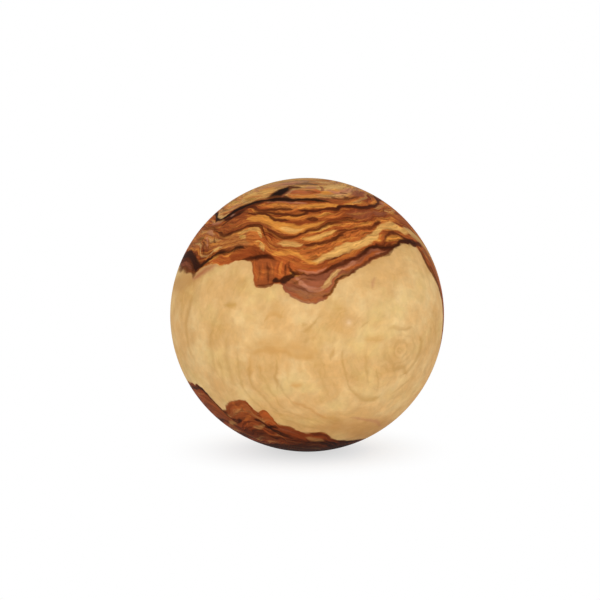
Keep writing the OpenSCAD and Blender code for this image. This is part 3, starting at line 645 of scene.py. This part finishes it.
# Growth lines all round the ball, as (longitude, latitude).
# Past longitude 80 to either side, the photograph doesn't show them and they are made up.
BOTTOM_HEART_EDGE = [
    (-180, -52), (-165, -49), (-150, -52), (-135, -50), (-120, -45), (-105, -36), (-90, -30), (-75, -29),
    (-66, -29.5), (-61, -33), (-57, -39), (-54, -42.5), (-50, -41.5), (-44, -38), (-38, -36.5),
    (-34, -37), (-31, -41.5), (-28, -43.5), (-24, -42), (-21.5, -44), (-20, -49.5), (-14, -51.5),
    (-6, -54.5), (0, -57.8), (10, -56.5), (20, -59.7), (30, -63), (40, -64.5), (60, -64), (90, -63),
    (105, -60), (120, -58), (135, -60), (150, -62), (165, -58), (180, -52),
]
TOP_HEART_EDGE = [
    (-180, 14), (-170, 13), (-155, 17), (-140, 24), (-125, 22), (-110, 16), (-95, 18), (-80, 21),
    (-70, 18.5), (-60, 17), (-55, 18), (-50, 20), (-40, 20.7), (-30, 21.5), (-24.4, 21), (-22.6, 15),
    (-21, 12.2), (-14, 11.9), (-10.4, 11.9), (-8.6, 9), (-4.2, 6.4), (2.5, 5.1), (9, 6.8), (12.2, 11.8),
    (18, 15.6), (26, 20.6), (34, 23), (42, 27.3), (50, 30), (58, 30.2), (64, 28.3), (67.4, 20),
    (73, 14.5), (78, 6), (81, -8), (86, -20), (95, -29), (110, -33), (125, -26), (140, -12), (155, 3),
    (170, 12), (180, 14),
]
BOUNDARY_LINE = [
    (-180, 21), (-170, 20), (-155, 24), (-140, 31), (-125, 29), (-110, 22), (-95, 23), (-80, 25),
    (-65, 24), (-57, 21.3), (-50, 23), (-43, 26.2), (-38, 26.3), (-32, 28.3), (-25, 27.5), (-20, 26),
    (-14, 23.5), (-8, 20.5), (-3, 18), (3, 17.5), (8, 18.5), (14, 21.5), (20, 23.8), (28, 28), (36, 29.8),
    (50, 32), (58, 32), (66, 30), (71, 24), (76, 14), (80, 4), (85, -6), (95, -16), (110, -20),
    (125, -14), (140, -2), (155, 12), (170, 19), (180, 21),
]
MIDDLE_LINE = [
    (-180, 36), (-165, 37), (-150, 42), (-130, 46), (-110, 40), (-90, 36), (-75, 36), (-60, 37),
    (-50, 35), (-44, 34.3), (-36, 37), (-27, 39), (-22, 37.5), (-14, 33.5), (-8, 33), (0, 35), (8, 38),
    (14, 40), (22, 41), (30, 42), (40, 44), (52, 45), (62, 44), (72, 41), (80, 34), (95, 20), (110, 12),
    (125, 14), (140, 20), (155, 29), (170, 34), (180, 36),
]
UPPER_LINE = [
    (-180, 52), (-165, 52), (-150, 55), (-130, 58), (-110, 52), (-90, 46), (-75, 43.5), (-60, 42.5),
    (-54, 44), (-46, 48.3), (-40, 49.5), (-30, 47.5), (-10, 45), (0, 46), (8, 47.5), (20, 48.7),
    (30, 49.8), (42, 49.8), (52, 52), (60, 54.5), (70, 57), (80, 55), (95, 46), (110, 38), (125, 36),
    (140, 40), (155, 46), (170, 50), (180, 52),
]
CAP_LINE = [
    (-180, 61), (-165, 61), (-150, 63), (-130, 64), (-110, 60), (-90, 52), (-75, 47.5), (-62, 45),
    (-55, 46.5), (-48, 50.5), (-40, 52.8), (-24, 55), (-10, 55), (5, 54.5), (15, 54), (30, 55.5),
    (40, 57.5), (52, 61), (64, 64), (80, 64), (95, 58), (110, 50), (125, 47), (140, 50), (155, 56),
    (170, 60), (180, 61),
]


def linear(colour):
    """Turns an sRGB hex value into the linear red, green, blue and alpha that the shaders take."""
    parts = [int(colour[i:i + 2], 16) / 255 for i in (1, 3, 5)]
    return [c / 12.92 if c <= 0.04045 else ((c + 0.055) / 1.055) ** 2.4 for c in parts] + [1.0]


def add(tree, kind, settings=None, inputs=None):
    """Adds a node. Each input is a plain value, a socket, or a node that gives its first output."""
    made = tree.nodes.new(kind)
    for name, value in (settings or {}).items():
        setattr(made, name, value)
    for socket, value in (inputs or {}).items():
        if isinstance(value, bpy.types.Node):
            value = value.outputs[0]
        if isinstance(value, bpy.types.NodeSocket):
            tree.links.new(value, made.inputs[socket])
        else:
            made.inputs[socket].default_value = value
    return made


# Settings that many nodes share
ADD = {"operation": "ADD"}
SUBTRACT = {"operation": "SUBTRACT"}
MULTIPLY = {"operation": "MULTIPLY"}
MULTIPLY_ADD = {"operation": "MULTIPLY_ADD"}
LARGER = {"operation": "MAXIMUM"}
LENGTH = {"operation": "LENGTH"}
COLOURS = {"data_type": "RGBA"}

# A fade that starts and ends softly. It never leaves its own range, so it goes without a clamp.
SOFT_FADE = {"interpolation_type": "SMOOTHSTEP", "clamp": False}

# The shaders count longitudes and latitudes in half turns
HALF_TURN = 180

# Most of a noise value lies in this range, and it seldom strays from a half by more than a quarter
NOISE_RANGE = {"From Min": 0.3, "From Max": 0.7}
NOISE_TO_ONE = 4


def lead_through(curve, points):
    """Leads one curve of a curves node smoothly through points that go from left to right."""
    curve.points[0].location = points[0]
    curve.points[1].location = points[-1]
    for x, y in points[1:-1]:
        curve.points.new(x, y)
    for point in curve.points:
        point.handle_type = "AUTO_CLAMPED"


def growth_lines(tree, turn, lines):
    """How high up to three growth lines lie at a longitude, in half turns."""
    curves = add(tree, "ShaderNodeVectorCurve", inputs={"Vector": turn})
    mapping = curves.mapping
    mapping.use_clip = False
    for curve, line in zip(mapping.curves, lines):
        lead_through(curve, [(longitude / HALF_TURN, latitude / HALF_TURN) for longitude, latitude in line])
    mapping.update()
    return add(tree, "ShaderNodeSeparateXYZ", inputs={0: curves}).outputs


def lay(tree, under, colour, mask):
    """Lays a colour over what is under it where the mask is 1."""
    return add(tree, "ShaderNodeMix", COLOURS, {0: mask, 6: under, 7: colour}).outputs[2]


def streak(tree, painted, along, across, colour, strength, softness, points):
    """Lays a tapered streak, whose points say how far along and across it lies, and its half width."""
    first = points[0][0]
    last = points[-1][0]
    places = [(point[0] - first) / (last - first) for point in points]
    widths = [0] + [point[2] + softness for point in points[1:-1]] + [0]
    scale = HALF_TURN / (last - first)
    run = {0: along, 1: (scale,) * 3, 2: (-scale * first / HALF_TURN,) * 3}
    run = add(tree, "ShaderNodeVectorMath", MULTIPLY_ADD, run)
    curves = add(tree, "ShaderNodeVectorCurve", inputs={"Vector": run})
    mapping = curves.mapping
    mapping.use_clip = False
    mapping.extend = "HORIZONTAL"
    lead_through(mapping.curves[0], [(x, point[1] / HALF_TURN) for x, point in zip(places, points)])
    lead_through(mapping.curves[1], [(x, width / HALF_TURN) for x, width in zip(places, widths)])
    lead_through(mapping.curves[2], [(0, 0), (1, 0)])
    mapping.update()

    # The half width, less how far a point lies from the middle of the streak
    off = add(tree, "ShaderNodeVectorMath", SUBTRACT, {0: across, 1: curves})
    off = add(tree, "ShaderNodeVectorMath", {"operation": "ABSOLUTE"}, {0: off})
    inside = add(tree, "ShaderNodeVectorMath", {"operation": "DOT_PRODUCT"}, {0: off, 1: (-1, 1, 0)})
    fade = {"Value": inside.outputs[1], "From Max": 2 * softness / HALF_TURN, "To Max": strength}
    mask = add(tree, "ShaderNodeMapRange", SOFT_FADE, fade)
    colours, cover = painted
    cover = add(tree, "ShaderNodeMix", inputs={0: mask, 2: cover, 3: 1.0})
    return lay(tree, colours, linear(colour), mask), cover


PLACE_SOCKETS = [(name, "NodeSocketVector") for name in ("Longitude", "Latitude", "Aside", "Upwards")]
PAINT_SOCKETS = [("Paint", "NodeSocketColor"), ("Cover", "NodeSocketFloat")]
UNPAINTED = linear("#000000")


def figure_group(name, figure):
    """A node group that lays one part of the figure over the paint that it is given."""
    tree = bpy.data.node_groups.new(name, "ShaderNodeTree")
    for socket, kind in PLACE_SOCKETS + PAINT_SOCKETS:
        tree.interface.new_socket(socket, in_out="INPUT", socket_type=kind)
    for socket, kind in PAINT_SOCKETS:
        tree.interface.new_socket(socket, in_out="OUTPUT", socket_type=kind)
    longitude, latitude, aside, upwards, *painted = add(tree, "NodeGroupInput").outputs[:6]
    for way, tone, strength, softness, points in figure:
        along, across = (longitude, upwards) if way == ALONG else (latitude, aside)
        painted = streak(tree, painted, along, across, tone, strength, softness, points)
    add(tree, "NodeGroupOutput", inputs=dict(enumerate(painted)))
    return tree


def lay_figures(tree, colour, places, figures, veil=1.0):
    """Paints parts of the figure on one another, and lays them on a colour as thickly as the veil says."""
    painted = (UNPAINTED, 0.0)
    for name, figure in figures:
        inputs = dict(enumerate([*places, *painted]))
        painted = add(tree, "ShaderNodeGroup", {"node_tree": figure_group(name, figure)}, inputs).outputs
    cover = add(tree, "ShaderNodeMath", MULTIPLY, {0: painted[1], 1: veil})
    bare = lay(tree, colour, UNPAINTED, cover)
    sum_up = {**COLOURS, "blend_type": "ADD"}
    return add(tree, "ShaderNodeMix", sum_up, {0: veil, 6: bare, 7: painted[0]}).outputs[2]


# A dark line is drawn bolder by this many degrees to each side, and leaves a tint in the wood beside it
BOLDER = 0.15
HALO_STRENGTH = 0.3
HALO_REACH = 0.9


def with_halos(figure):
    """Lays a longer, wider and fainter streak under each dark line, for the tint it leaves beside it."""
    both = []
    for way, tone, strength, softness, points in figure:
        halo = [(along, across, half + HALO_REACH / 2) for along, across, half in points]
        halo[0] = (points[0][0] - HALO_REACH, points[0][1], 0)
        halo[-1] = (points[-1][0] + HALO_REACH, points[-1][1], 0)
        bold = [(along, across, half + BOLDER if half else 0) for along, across, half in points]
        both.append((way, DARK_BROWN, HALO_STRENGTH, HALO_REACH, halo))
        both.append((way, tone, strength, softness, bold))
    return both


def place_on_ball(tree):
    """Where a point lies on a ball of radius 1 that faces the camera."""
    place = add(tree, "ShaderNodeTexCoord").outputs["Object"]
    facing = {"Vector": place, "Rotation": (CAMERA_RISE, 0, 0), "Scale": (1 / radius,) * 3}
    return add(tree, "ShaderNodeMapping", inputs=facing)


def stretched(tree, place, stretch, shift=0.0):
    """Scales a place by its own amount along each axis, and shifts it so that two patterns differ."""
    scaled = {0: place, 1: stretch, 2: (shift, shift, shift)}
    return add(tree, "ShaderNodeVectorMath", MULTIPLY_ADD, scaled)


def wavered(tree, place, size, reach):
    """Moves places to and fro by up to about reach degrees, in waves of about size degrees."""
    wave = {"Vector": place, "Scale": math.degrees(1) / size, "Detail": 2.0}
    wave = add(tree, "ShaderNodeTexNoise", inputs=wave).outputs["Color"]
    centred = add(tree, "ShaderNodeVectorMath", SUBTRACT, {0: wave, 1: (0.5, 0.5, 0.5)})
    push = {0: centred, 1: (math.radians(reach) * NOISE_TO_ONE,) * 3, 2: place}
    return add(tree, "ShaderNodeVectorMath", MULTIPLY_ADD, push)


def feathered(tree, place, length, thickness, reach):
    """Moves places up and down by up to about reach degrees, in flat waves whose sizes are in degrees."""
    flat = [math.degrees(1) / size for size in (length, length, thickness)]
    wave = {"Vector": stretched(tree, place, flat, shift=7.0), "Scale": 1.0, "Detail": 3.0}
    wave = add(tree, "ShaderNodeTexNoise", inputs=wave)
    push = math.radians(reach) * NOISE_TO_ONE
    push = add(tree, "ShaderNodeMath", MULTIPLY_ADD, {0: wave, 1: push, 2: -push / 2})
    push = add(tree, "ShaderNodeCombineXYZ", inputs={2: push})
    return add(tree, "ShaderNodeVectorMath", ADD, {0: place, 1: push})


def across_ball(*sizes):
    """How finely a pattern is drawn along each axis of a ball of radius 1. Sizes are in millimetres."""
    return [radius / (size * MILLIMETRE) for size in sizes]


def along_layers(length, thickness):
    """How finely a pattern is drawn along the layers and through them. Sizes are in millimetres."""
    degree = radius * math.radians(1)
    return [*across_ball(length, length), degree / (thickness * MILLIMETRE)]


def clouded(tree, place, stretch, shift=0.0, detail=4.0):
    """A noise value, finer along each axis where its stretch is larger."""
    place = stretched(tree, place, stretch, shift)
    cloud = {"Vector": place, "Scale": 1.0, "Detail": detail, "Roughness": 0.6}
    return add(tree, "ShaderNodeTexNoise", inputs=cloud)


def ramp(tree, value, stops):
    """Turns a value into a colour by (place, hex value) stops."""
    made = add(tree, "ShaderNodeValToRGB", inputs={0: value})
    elements = made.color_ramp.elements
    elements.remove(elements[-1])
    elements[0].position = stops[0][0]
    elements[0].color = linear(stops[0][1])
    for place, colour in stops[1:]:
        elements.new(place).color = linear(colour)
    return made


def faded(tree, value, start, end, strength=1.0):
    """A mask that goes from 0 where a value is start to its strength where it is end."""
    fade = {"Value": value, "From Min": start, "From Max": end, "To Max": strength}
    return add(tree, "ShaderNodeMapRange", inputs=fade)


def beside(tree, rise, line, start, end, strength=1.0):
    """A mask that goes from 0 at start degrees above a growth line to its strength at end degrees above."""
    off = add(tree, "ShaderNodeMath", SUBTRACT, {0: rise, 1: line})
    return faded(tree, off, start / HALF_TURN, end / HALF_TURN, strength)


def nested_lines(tree, value, spacing, width, strength):
    """A mask of thin lines, one at each step of a value. The strength may change from place to place."""
    off = add(tree, "ShaderNodeMath", {"operation": "PINGPONG"}, {0: value, 1: spacing / 2})
    fade = {"Value": off, "From Min": width, "From Max": 0.0, "To Max": strength}
    return add(tree, "ShaderNodeMapRange", SOFT_FADE, fade)


def shaded(tree, under, value, low, high):
    """Darkens or lightens a colour by a noise value, from low times to high times its light."""
    factor = {**NOISE_RANGE, "Value": value, "To Min": low, "To Max": high}
    factor = add(tree, "ShaderNodeMapRange", inputs=factor)
    return add(tree, "ShaderNodeHueSaturation", inputs={"Value": factor, "Color": under})


# The rings round the eye, from sizes in millimetres, and how much wider than high they are
ON_BALL = MILLIMETRE / radius
RING_SPACING = 2.1 * ON_BALL
RING_WIDTH = 0.84 * ON_BALL
FIRST_RING = 0.84 * ON_BALL
RINGS_FADE_FROM = 3.5 * ON_BALL
RINGS_END = 9.45 * ON_BALL
RINGS_SQUEEZED = 1.4


def sapwood(tree, unit, parts):
    """Pale wood with warm clouds, mottling, and faint growth rings round the eye."""
    clouds = clouded(tree, unit, across_ball(10.94, 10.94, 10.94), detail=6.0)
    colour = ramp(tree, clouds, [(0.34, SAP_TAN), (0.5, SAP_MIDDLE), (0.64, SAP_PALE)])
    tint = clouded(tree, unit, across_ball(11.667, 11.667, 7.778), shift=11.0)
    colour = lay(tree, colour, linear(SAP_BLUSH), faded(tree, tint, 0.5, 0.7, strength=0.6))
    colour = lay(tree, colour, linear(SAP_STRAW), faded(tree, tint, 0.5, 0.3, strength=0.7))
    mottle = clouded(tree, unit, across_ball(2.059, 2.059, 2.5), shift=5.0, detail=3.0)
    colour = shaded(tree, colour, mottle, low=0.92, high=1.07)

    swayed = wavered(tree, wavered(tree, unit, size=22, reach=3.0), size=5, reach=0.5)
    off_eye = add(tree, "ShaderNodeVectorMath", SUBTRACT, {0: swayed, 1: EYE})
    off_eye = stretched(tree, off_eye, (1, 1, RINGS_SQUEEZED))
    from_eye = add(tree, "ShaderNodeVectorMath", LENGTH, {0: off_eye}).outputs[1]
    near_eye = faded(tree, from_eye, RINGS_END, RINGS_FADE_FROM, strength=0.42)
    eye_rings = add(tree, "ShaderNodeMath", ADD, {0: from_eye, 1: RING_SPACING - FIRST_RING})
    eye_rings = nested_lines(tree, eye_rings, RING_SPACING, RING_WIDTH, near_eye)
    eye_rings = add(tree, "ShaderNodeMath", MULTIPLY, {0: eye_rings, 1: faded(tree, tint, 0.38, 0.56)})

    ringed = add(tree, "ShaderNodeCombineXYZ", inputs={0: parts[0], 1: parts[2], 2: from_eye})
    rings = clouded(tree, ringed, across_ball(21.875, 21.875, 3.889))
    colour = shaded(tree, colour, rings, low=0.93, high=1.05)
    fine_rings = clouded(tree, ringed, across_ball(17.5, 17.5, 2.3333), shift=5.0, detail=2.0)
    in_dark_clouds = faded(tree, clouds, 0.55, 0.4, strength=0.2)
    fine_rings = nested_lines(tree, fine_rings, 0.25, 0.08, in_dark_clouds)
    colour = lay(tree, colour, linear(SAP_LINE), fine_rings)
    return lay(tree, colour, linear(SAP_LINE), eye_rings)


# How many degrees the layers of each zone count, from the bottom of the ball to its top
ZONE_DEGREES = [30.0, 40.0, 5.0, 12.0, 11.0, 6.0, 32.0]


def counted_layers(tree, parts, rise, edges):
    """A place whose height counts the layers, for patterns that follow the growth lines."""
    bounds = [-0.5, *edges, 0.5]
    layer = 0.0
    for start, end, degrees in zip(bounds, bounds[1:], ZONE_DEGREES):
        step = faded(tree, rise, start, end, degrees)
        layer = add(tree, "ShaderNodeMath", ADD, {0: layer, 1: step})
    return add(tree, "ShaderNodeCombineXYZ", inputs={0: parts[0], 1: parts[1], 2: layer})


HEART_BANDS = [
    (0.32, DARK_BROWN), (0.41, RED_BROWN), (0.48, BROWN), (0.53, RUSSET), (0.57, ORANGE), (0.62, GOLD),
    (0.7, PALE_GOLD),
]
FOOT_BANDS = [
    (0.34, BLACK), (0.4, BLACK_BROWN), (0.46, DARK_BROWN), (0.52, RED_BROWN), (0.58, WEDGE_RED),
    (0.67, TAN),
]
CROWN_BANDS = [(0.34, BROWN), (0.42, PINK_TAN), (0.48, TAN), (0.55, CREAM), (0.64, PALE_GOLD)]


def heart_bands(tree, colour, layered, above_sap, below_sap, in_crown):
    """Brown wood in bands that follow the layers, darker at the foot of the ball and paler at its crown."""
    place = stretched(tree, layered, along_layers(15.909, 1.7453))
    bands = {"Vector": place, "Scale": 1.0, "Detail": 6.0, "Roughness": 0.6, "Distortion": 0.3}
    bands = add(tree, "ShaderNodeTexNoise", inputs=bands)
    colour = lay(tree, colour, ramp(tree, bands, HEART_BANDS), above_sap)
    colour = lay(tree, colour, ramp(tree, bands, CROWN_BANDS), in_crown)
    return lay(tree, colour, ramp(tree, bands, FOOT_BANDS), below_sap)


def heart_grain(tree, colour, layered, above_sap, below_sap, in_heart):
    """Darker and lighter grain along the layers, and dark lines that nest in one another."""
    grain = clouded(tree, layered, along_layers(7.7778, 0.71867), shift=3.0, detail=5.0)
    tones = [
        (DARK_BROWN, in_heart, 0.42, 0.46, 0.33), (GOLD, above_sap, 0.6, 0.51, 0.66),
        (RUSSET, below_sap, 0.6, 0.51, 0.66),
    ]
    for tone, zone, strength, start, end in tones:
        strongest = add(tree, "ShaderNodeMath", MULTIPLY, {0: zone, 1: strength})
        colour = lay(tree, colour, linear(tone), faded(tree, grain, start, end, strongest))
    contours = clouded(tree, layered, along_layers(13.462, 1.22173), shift=21.0, detail=3.0)
    strongest = add(tree, "ShaderNodeMath", MULTIPLY, {0: in_heart, 1: 0.5})
    contours = nested_lines(tree, contours, 0.09, 0.02, strongest)
    return lay(tree, colour, linear(DARK_BROWN), contours)


# Open pores, in millimetres. Real ones are under 0.1 mm wide and wouldn't show, so they are drawn coarser.
PORE_SIZES = (0.8, 0.8, 0.5)
PORE_DEPTH = 0.02


def oiled_skin(tree, colour):
    """A nearly matt surface under a thin coat of oil, finely pitted by open pores."""
    place = add(tree, "ShaderNodeTexCoord").outputs["Object"]
    pores = clouded(tree, place, [1 / (size * MILLIMETRE) for size in PORE_SIZES], detail=2.0)
    relief = {"Strength": 1.0, "Distance": PORE_DEPTH * MILLIMETRE, "Height": pores}
    relief = add(tree, "ShaderNodeBump", inputs=relief)
    rough = {**NOISE_RANGE, "Value": pores, "To Min": 0.4, "To Max": 0.5}
    rough = add(tree, "ShaderNodeMapRange", inputs=rough)
    wood = {"Base Color": colour, "Roughness": rough, "Normal": relief}
    oil = {"IOR": 1.45, "Specular IOR Level": 0.0, "Coat Weight": 0.06, "Coat Roughness": 0.15}
    return add(tree, "ShaderNodeBsdfPrincipled", inputs={**wood, **oil})


def oiled_olive_wood():
    """Olive wood, turned, sanded and oiled: nearly matt, with pale sapwood and streaked brown heartwood."""
    material = bpy.data.materials.new("oiled_olive_wood")
    material.use_nodes = True
    tree = material.node_tree
    tree.nodes.clear()

    place = wavered(tree, place_on_ball(tree), size=7, reach=0.8)
    place = wavered(tree, place, size=2.4, reach=0.25)
    place = feathered(tree, place, length=9, thickness=0.9, reach=0.35)
    unit = add(tree, "ShaderNodeVectorMath", {"operation": "NORMALIZE"}, {0: place})
    parts = add(tree, "ShaderNodeSeparateXYZ", inputs={0: unit}).outputs
    ahead = add(tree, "ShaderNodeMath", MULTIPLY, {0: parts[1], 1: -1.0})
    turn = add(tree, "ShaderNodeMath", {"operation": "ARCTAN2"}, {0: parts[0], 1: ahead})
    turn = add(tree, "ShaderNodeMath", MULTIPLY, {0: turn, 1: 1 / math.pi})
    rise = add(tree, "ShaderNodeMath", {"operation": "ARCSINE"}, {0: parts[2]})
    rise = add(tree, "ShaderNodeMath", MULTIPLY, {0: rise, 1: 1 / math.pi})
    ways = [{0: turn, 1: turn}, {0: rise, 1: rise}, {0: turn}, {0: rise}]
    places = [add(tree, "ShaderNodeCombineXYZ", inputs=way) for way in ways]

    low, top, boundary = growth_lines(tree, turn, (BOTTOM_HEART_EDGE, TOP_HEART_EDGE, BOUNDARY_LINE))
    middle, upper, cap = growth_lines(tree, turn, (MIDDLE_LINE, UPPER_LINE, CAP_LINE))
    layered = counted_layers(tree, parts, rise, [low, top, boundary, middle, upper, cap])
    above_sap = beside(tree, rise, top, 0.0, 0.8)
    below_sap = beside(tree, rise, low, 0.0, -0.8)
    in_heart = add(tree, "ShaderNodeMath", LARGER, {0: above_sap, 1: below_sap})
    in_crown = beside(tree, rise, cap, 0.0, 4.0)

    colour = sapwood(tree, unit, parts)
    colour = lay_figures(tree, colour, places, [("sapwood_figure", SAP_FIGURE)])
    colour = lay(tree, colour, linear(TAN), beside(tree, rise, top, -3.0, 0.0, strength=0.35))
    colour = heart_bands(tree, colour, layered, above_sap, below_sap, in_crown)

    # The figure is laid thinner here and there along the layers
    veil = clouded(tree, layered, along_layers(7.0, 0.61087), shift=9.0, detail=5.0)
    veil = {"Value": veil, "From Min": 0.35, "From Max": 0.55, "To Min": 0.6}
    veil = add(tree, "ShaderNodeMapRange", inputs=veil)
    broad = [("cap_figure", CAP_FIGURE), ("upper_figure", UPPER_FIGURE), ("middle_figure", MIDDLE_FIGURE)]
    colour = lay_figures(tree, colour, places, broad, veil)
    colour = heart_grain(tree, colour, layered, above_sap, below_sap, in_heart)
    over_grain = [
        ("lower_figure", LOWER_FIGURE), ("back_figure", BACK_FIGURE), ("band_figure", BAND_FIGURE),
        ("edge_figure", EDGE_FIGURE),
    ]
    colour = lay_figures(tree, colour, places, over_grain, veil)
    colour = lay_figures(tree, colour, places, [("line_figure", with_halos(LINE_FIGURE))])
    fine = clouded(tree, layered, along_layers(4.375, 0.4699), shift=31.0)
    fine = add(tree, "ShaderNodeMix", inputs={0: in_heart, 2: 0.5, 3: fine})
    colour = shaded(tree, colour, fine, low=0.72, high=1.34)

    add(tree, "ShaderNodeOutputMaterial", inputs={0: oiled_skin(tree, colour)})
    return material


# Faces along each edge of the cube that the ball is blown up from
FACES_ALONG = 120

# Sanding by hand leaves hollows some 8 mm wide and a few hundredths of a millimetre deep
HOLLOW_WIDTH = 8 * MILLIMETRE
HOLLOW_DEPTH = 0.03 * MILLIMETRE

# The faces of the cube lie side by side on the ball's UV map, with a small margin round each
MAP_COLUMNS = 3
MAP_ROWS = 2
MAP_MARGIN = 0.01


def turned_ball():
    """A ball blown up from a finely cut cube, with the faint hollows that hand sanding leaves."""
    bm = bmesh.new()
    bmesh.ops.create_cube(bm, size=2.0)
    squares = bm.loops.layers.uv.new("OFBake")
    for number, face in enumerate(bm.faces):
        column = number % MAP_COLUMNS
        row = number // MAP_COLUMNS
        for corner, loop in enumerate(face.loops):
            across = MAP_MARGIN if corner in (0, 3) else 1 - MAP_MARGIN
            up = MAP_MARGIN if corner in (0, 1) else 1 - MAP_MARGIN
            loop[squares].uv = ((column + across) / MAP_COLUMNS, (row + up) / MAP_ROWS)
    bmesh.ops.subdivide_edges(bm, edges=bm.edges[:], cuts=FACES_ALONG - 1, use_grid_fill=True)
    for vertex in bm.verts:
        spread = Vector([math.tan(c * math.pi / 4) for c in vertex.co]).normalized()
        hollow = 0.5 + 0.5 * noise.noise(spread * (radius / HOLLOW_WIDTH))
        vertex.co = centre + spread * (radius - HOLLOW_DEPTH * min(1.0, max(0.0, hollow)))
    for face in bm.faces:
        face.smooth = True
    mesh = bpy.data.meshes.new("turned_ball")
    bm.to_mesh(mesh)
    bm.free()
    piece = bpy.data.objects.new("turned_ball", mesh)
    bpy.context.scene.collection.objects.link(piece)
    return piece


ball = turned_ball()
ball.data.materials.append(oiled_olive_wood())
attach(ball, "root")
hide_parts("ball")


def seen_rays(tree):
    """1 for what the camera, a reflection or a clear thing sees, and 0 for light that falls on a thing."""
    rays = add(tree, "ShaderNodeLightPath").outputs
    seen = add(tree, "ShaderNodeMath", LARGER, {0: rays["Is Camera Ray"], 1: rays["Is Glossy Ray"]})
    return add(tree, "ShaderNodeMath", LARGER, {0: seen, 1: rays["Is Transmission Ray"]})


# The floor reaches 8 m to each side. It shows the ball's shadow close by, and is plain white further off.
FLOOR_REACH = 8.0
FLOOR_WHITE = "#f6f5f3"
SHADOW_FADES_FROM = 0.3 * radius
SHADOW_ENDS = 1.5 * radius


def pale_floor():
    """A pale floor that the ball touches, shown white away from the ball's shadow."""
    bm = bmesh.new()
    bmesh.ops.create_grid(bm, x_segments=1, y_segments=1, size=FLOOR_REACH)
    bmesh.ops.translate(bm, vec=(0, 0, ball_low.z), verts=bm.verts[:])
    mesh = bpy.data.meshes.new("pale_floor")
    bm.to_mesh(mesh)
    bm.free()
    floor = bpy.data.objects.new("pale_floor", mesh)
    bpy.context.scene.collection.objects.link(floor)
    material = bpy.data.materials.new("matt_white_floor")
    material.use_nodes = True
    tree = material.node_tree
    tree.nodes.clear()
    matt = add(tree, "ShaderNodeBsdfDiffuse", inputs={0: linear(FLOOR_WHITE)})
    place = add(tree, "ShaderNodeTexCoord").outputs["Object"]
    reach = add(tree, "ShaderNodeVectorMath", LENGTH, {0: place}).outputs[1]
    far = {"Value": reach, "From Min": SHADOW_FADES_FROM, "From Max": SHADOW_ENDS}
    far = add(tree, "ShaderNodeMapRange", SOFT_FADE, far)
    white = add(tree, "ShaderNodeMath", MULTIPLY, {0: far, 1: seen_rays(tree)})
    glow = add(tree, "ShaderNodeEmission", inputs={"Strength": 1.0})
    mixed = add(tree, "ShaderNodeMixShader", inputs={0: white, 1: matt, 2: glow})
    add(tree, "ShaderNodeOutputMaterial", inputs={0: mixed})
    mesh.materials.append(material)
    return floor


pale_floor()


# How strong the even light is that falls on things, where 1 is white
ROOM_LIGHT = 0.92


def studio_world():
    """Even light from all round, which the camera and the reflections see as white."""
    world = bpy.data.worlds.new("white_studio")
    bpy.context.scene.world = world
    world.use_nodes = True
    tree = world.node_tree
    tree.nodes.clear()
    level = {"Value": seen_rays(tree), "To Min": ROOM_LIGHT, "To Max": 1.0}
    level = add(tree, "ShaderNodeMapRange", inputs=level)
    light = add(tree, "ShaderNodeBackground", inputs={"Strength": level})
    add(tree, "ShaderNodeOutputWorld", inputs={0: light})


def softbox(name, azimuth, elevation, distance, width, height, watts):
    """A soft lamp that looks at the ball from azimuth and elevation degrees."""
    lamp = bpy.data.lights.new(name, "AREA")
    lamp.shape = "RECTANGLE"
    lamp.size = width
    lamp.size_y = height
    lamp.energy = watts
    holder = bpy.data.objects.new(name, lamp)
    away = direction(azimuth, elevation)
    holder.location = centre + away * distance
    holder.rotation_euler = away.to_track_quat("Z", "Y").to_euler()
    bpy.context.scene.collection.objects.link(holder)


studio_world()
softbox("front_softbox", -14, 15, distance=1.2, width=0.9, height=0.7, watts=3.5)
softbox("small_side_lamp", 34, 0.5, distance=1.0, width=0.035, height=0.035, watts=1.1)


def photo_camera():
    """Puts the ball where the photograph has it, by aiming and not by shifting."""
    focal = BALL_RADIUS * math.sqrt(CAMERA_DISTANCE ** 2 - radius ** 2) / radius
    back = Vector((0, -math.cos(CAMERA_RISE), math.sin(CAMERA_RISE)))
    up = Vector((0, math.sin(CAMERA_RISE), math.cos(CAMERA_RISE)))
    data = bpy.data.cameras.new("photo_camera")
    data.sensor_width = SENSOR_WIDTH
    data.lens = focal * SENSOR_WIDTH / PHOTO_SIDE
    data.clip_start = NEAREST_SEEN
    data.clip_end = FURTHEST_SEEN
    camera = bpy.data.objects.new("photo_camera", data)
    camera.location = centre + back * CAMERA_DISTANCE
    metres = CAMERA_DISTANCE / focal
    aim = centre - Vector((1, 0, 0)) * (BALL_ACROSS - PHOTO_SIDE / 2) * metres
    aim = aim + up * (BALL_DOWN - PHOTO_SIDE / 2) * metres
    camera.rotation_euler = (aim - camera.location).to_track_quat("-Z", "Y").to_euler()
    bpy.context.scene.collection.objects.link(camera)
    bpy.context.scene.camera = camera


photo_camera()
bpy.context.scene.view_settings.view_transform = "Standard"
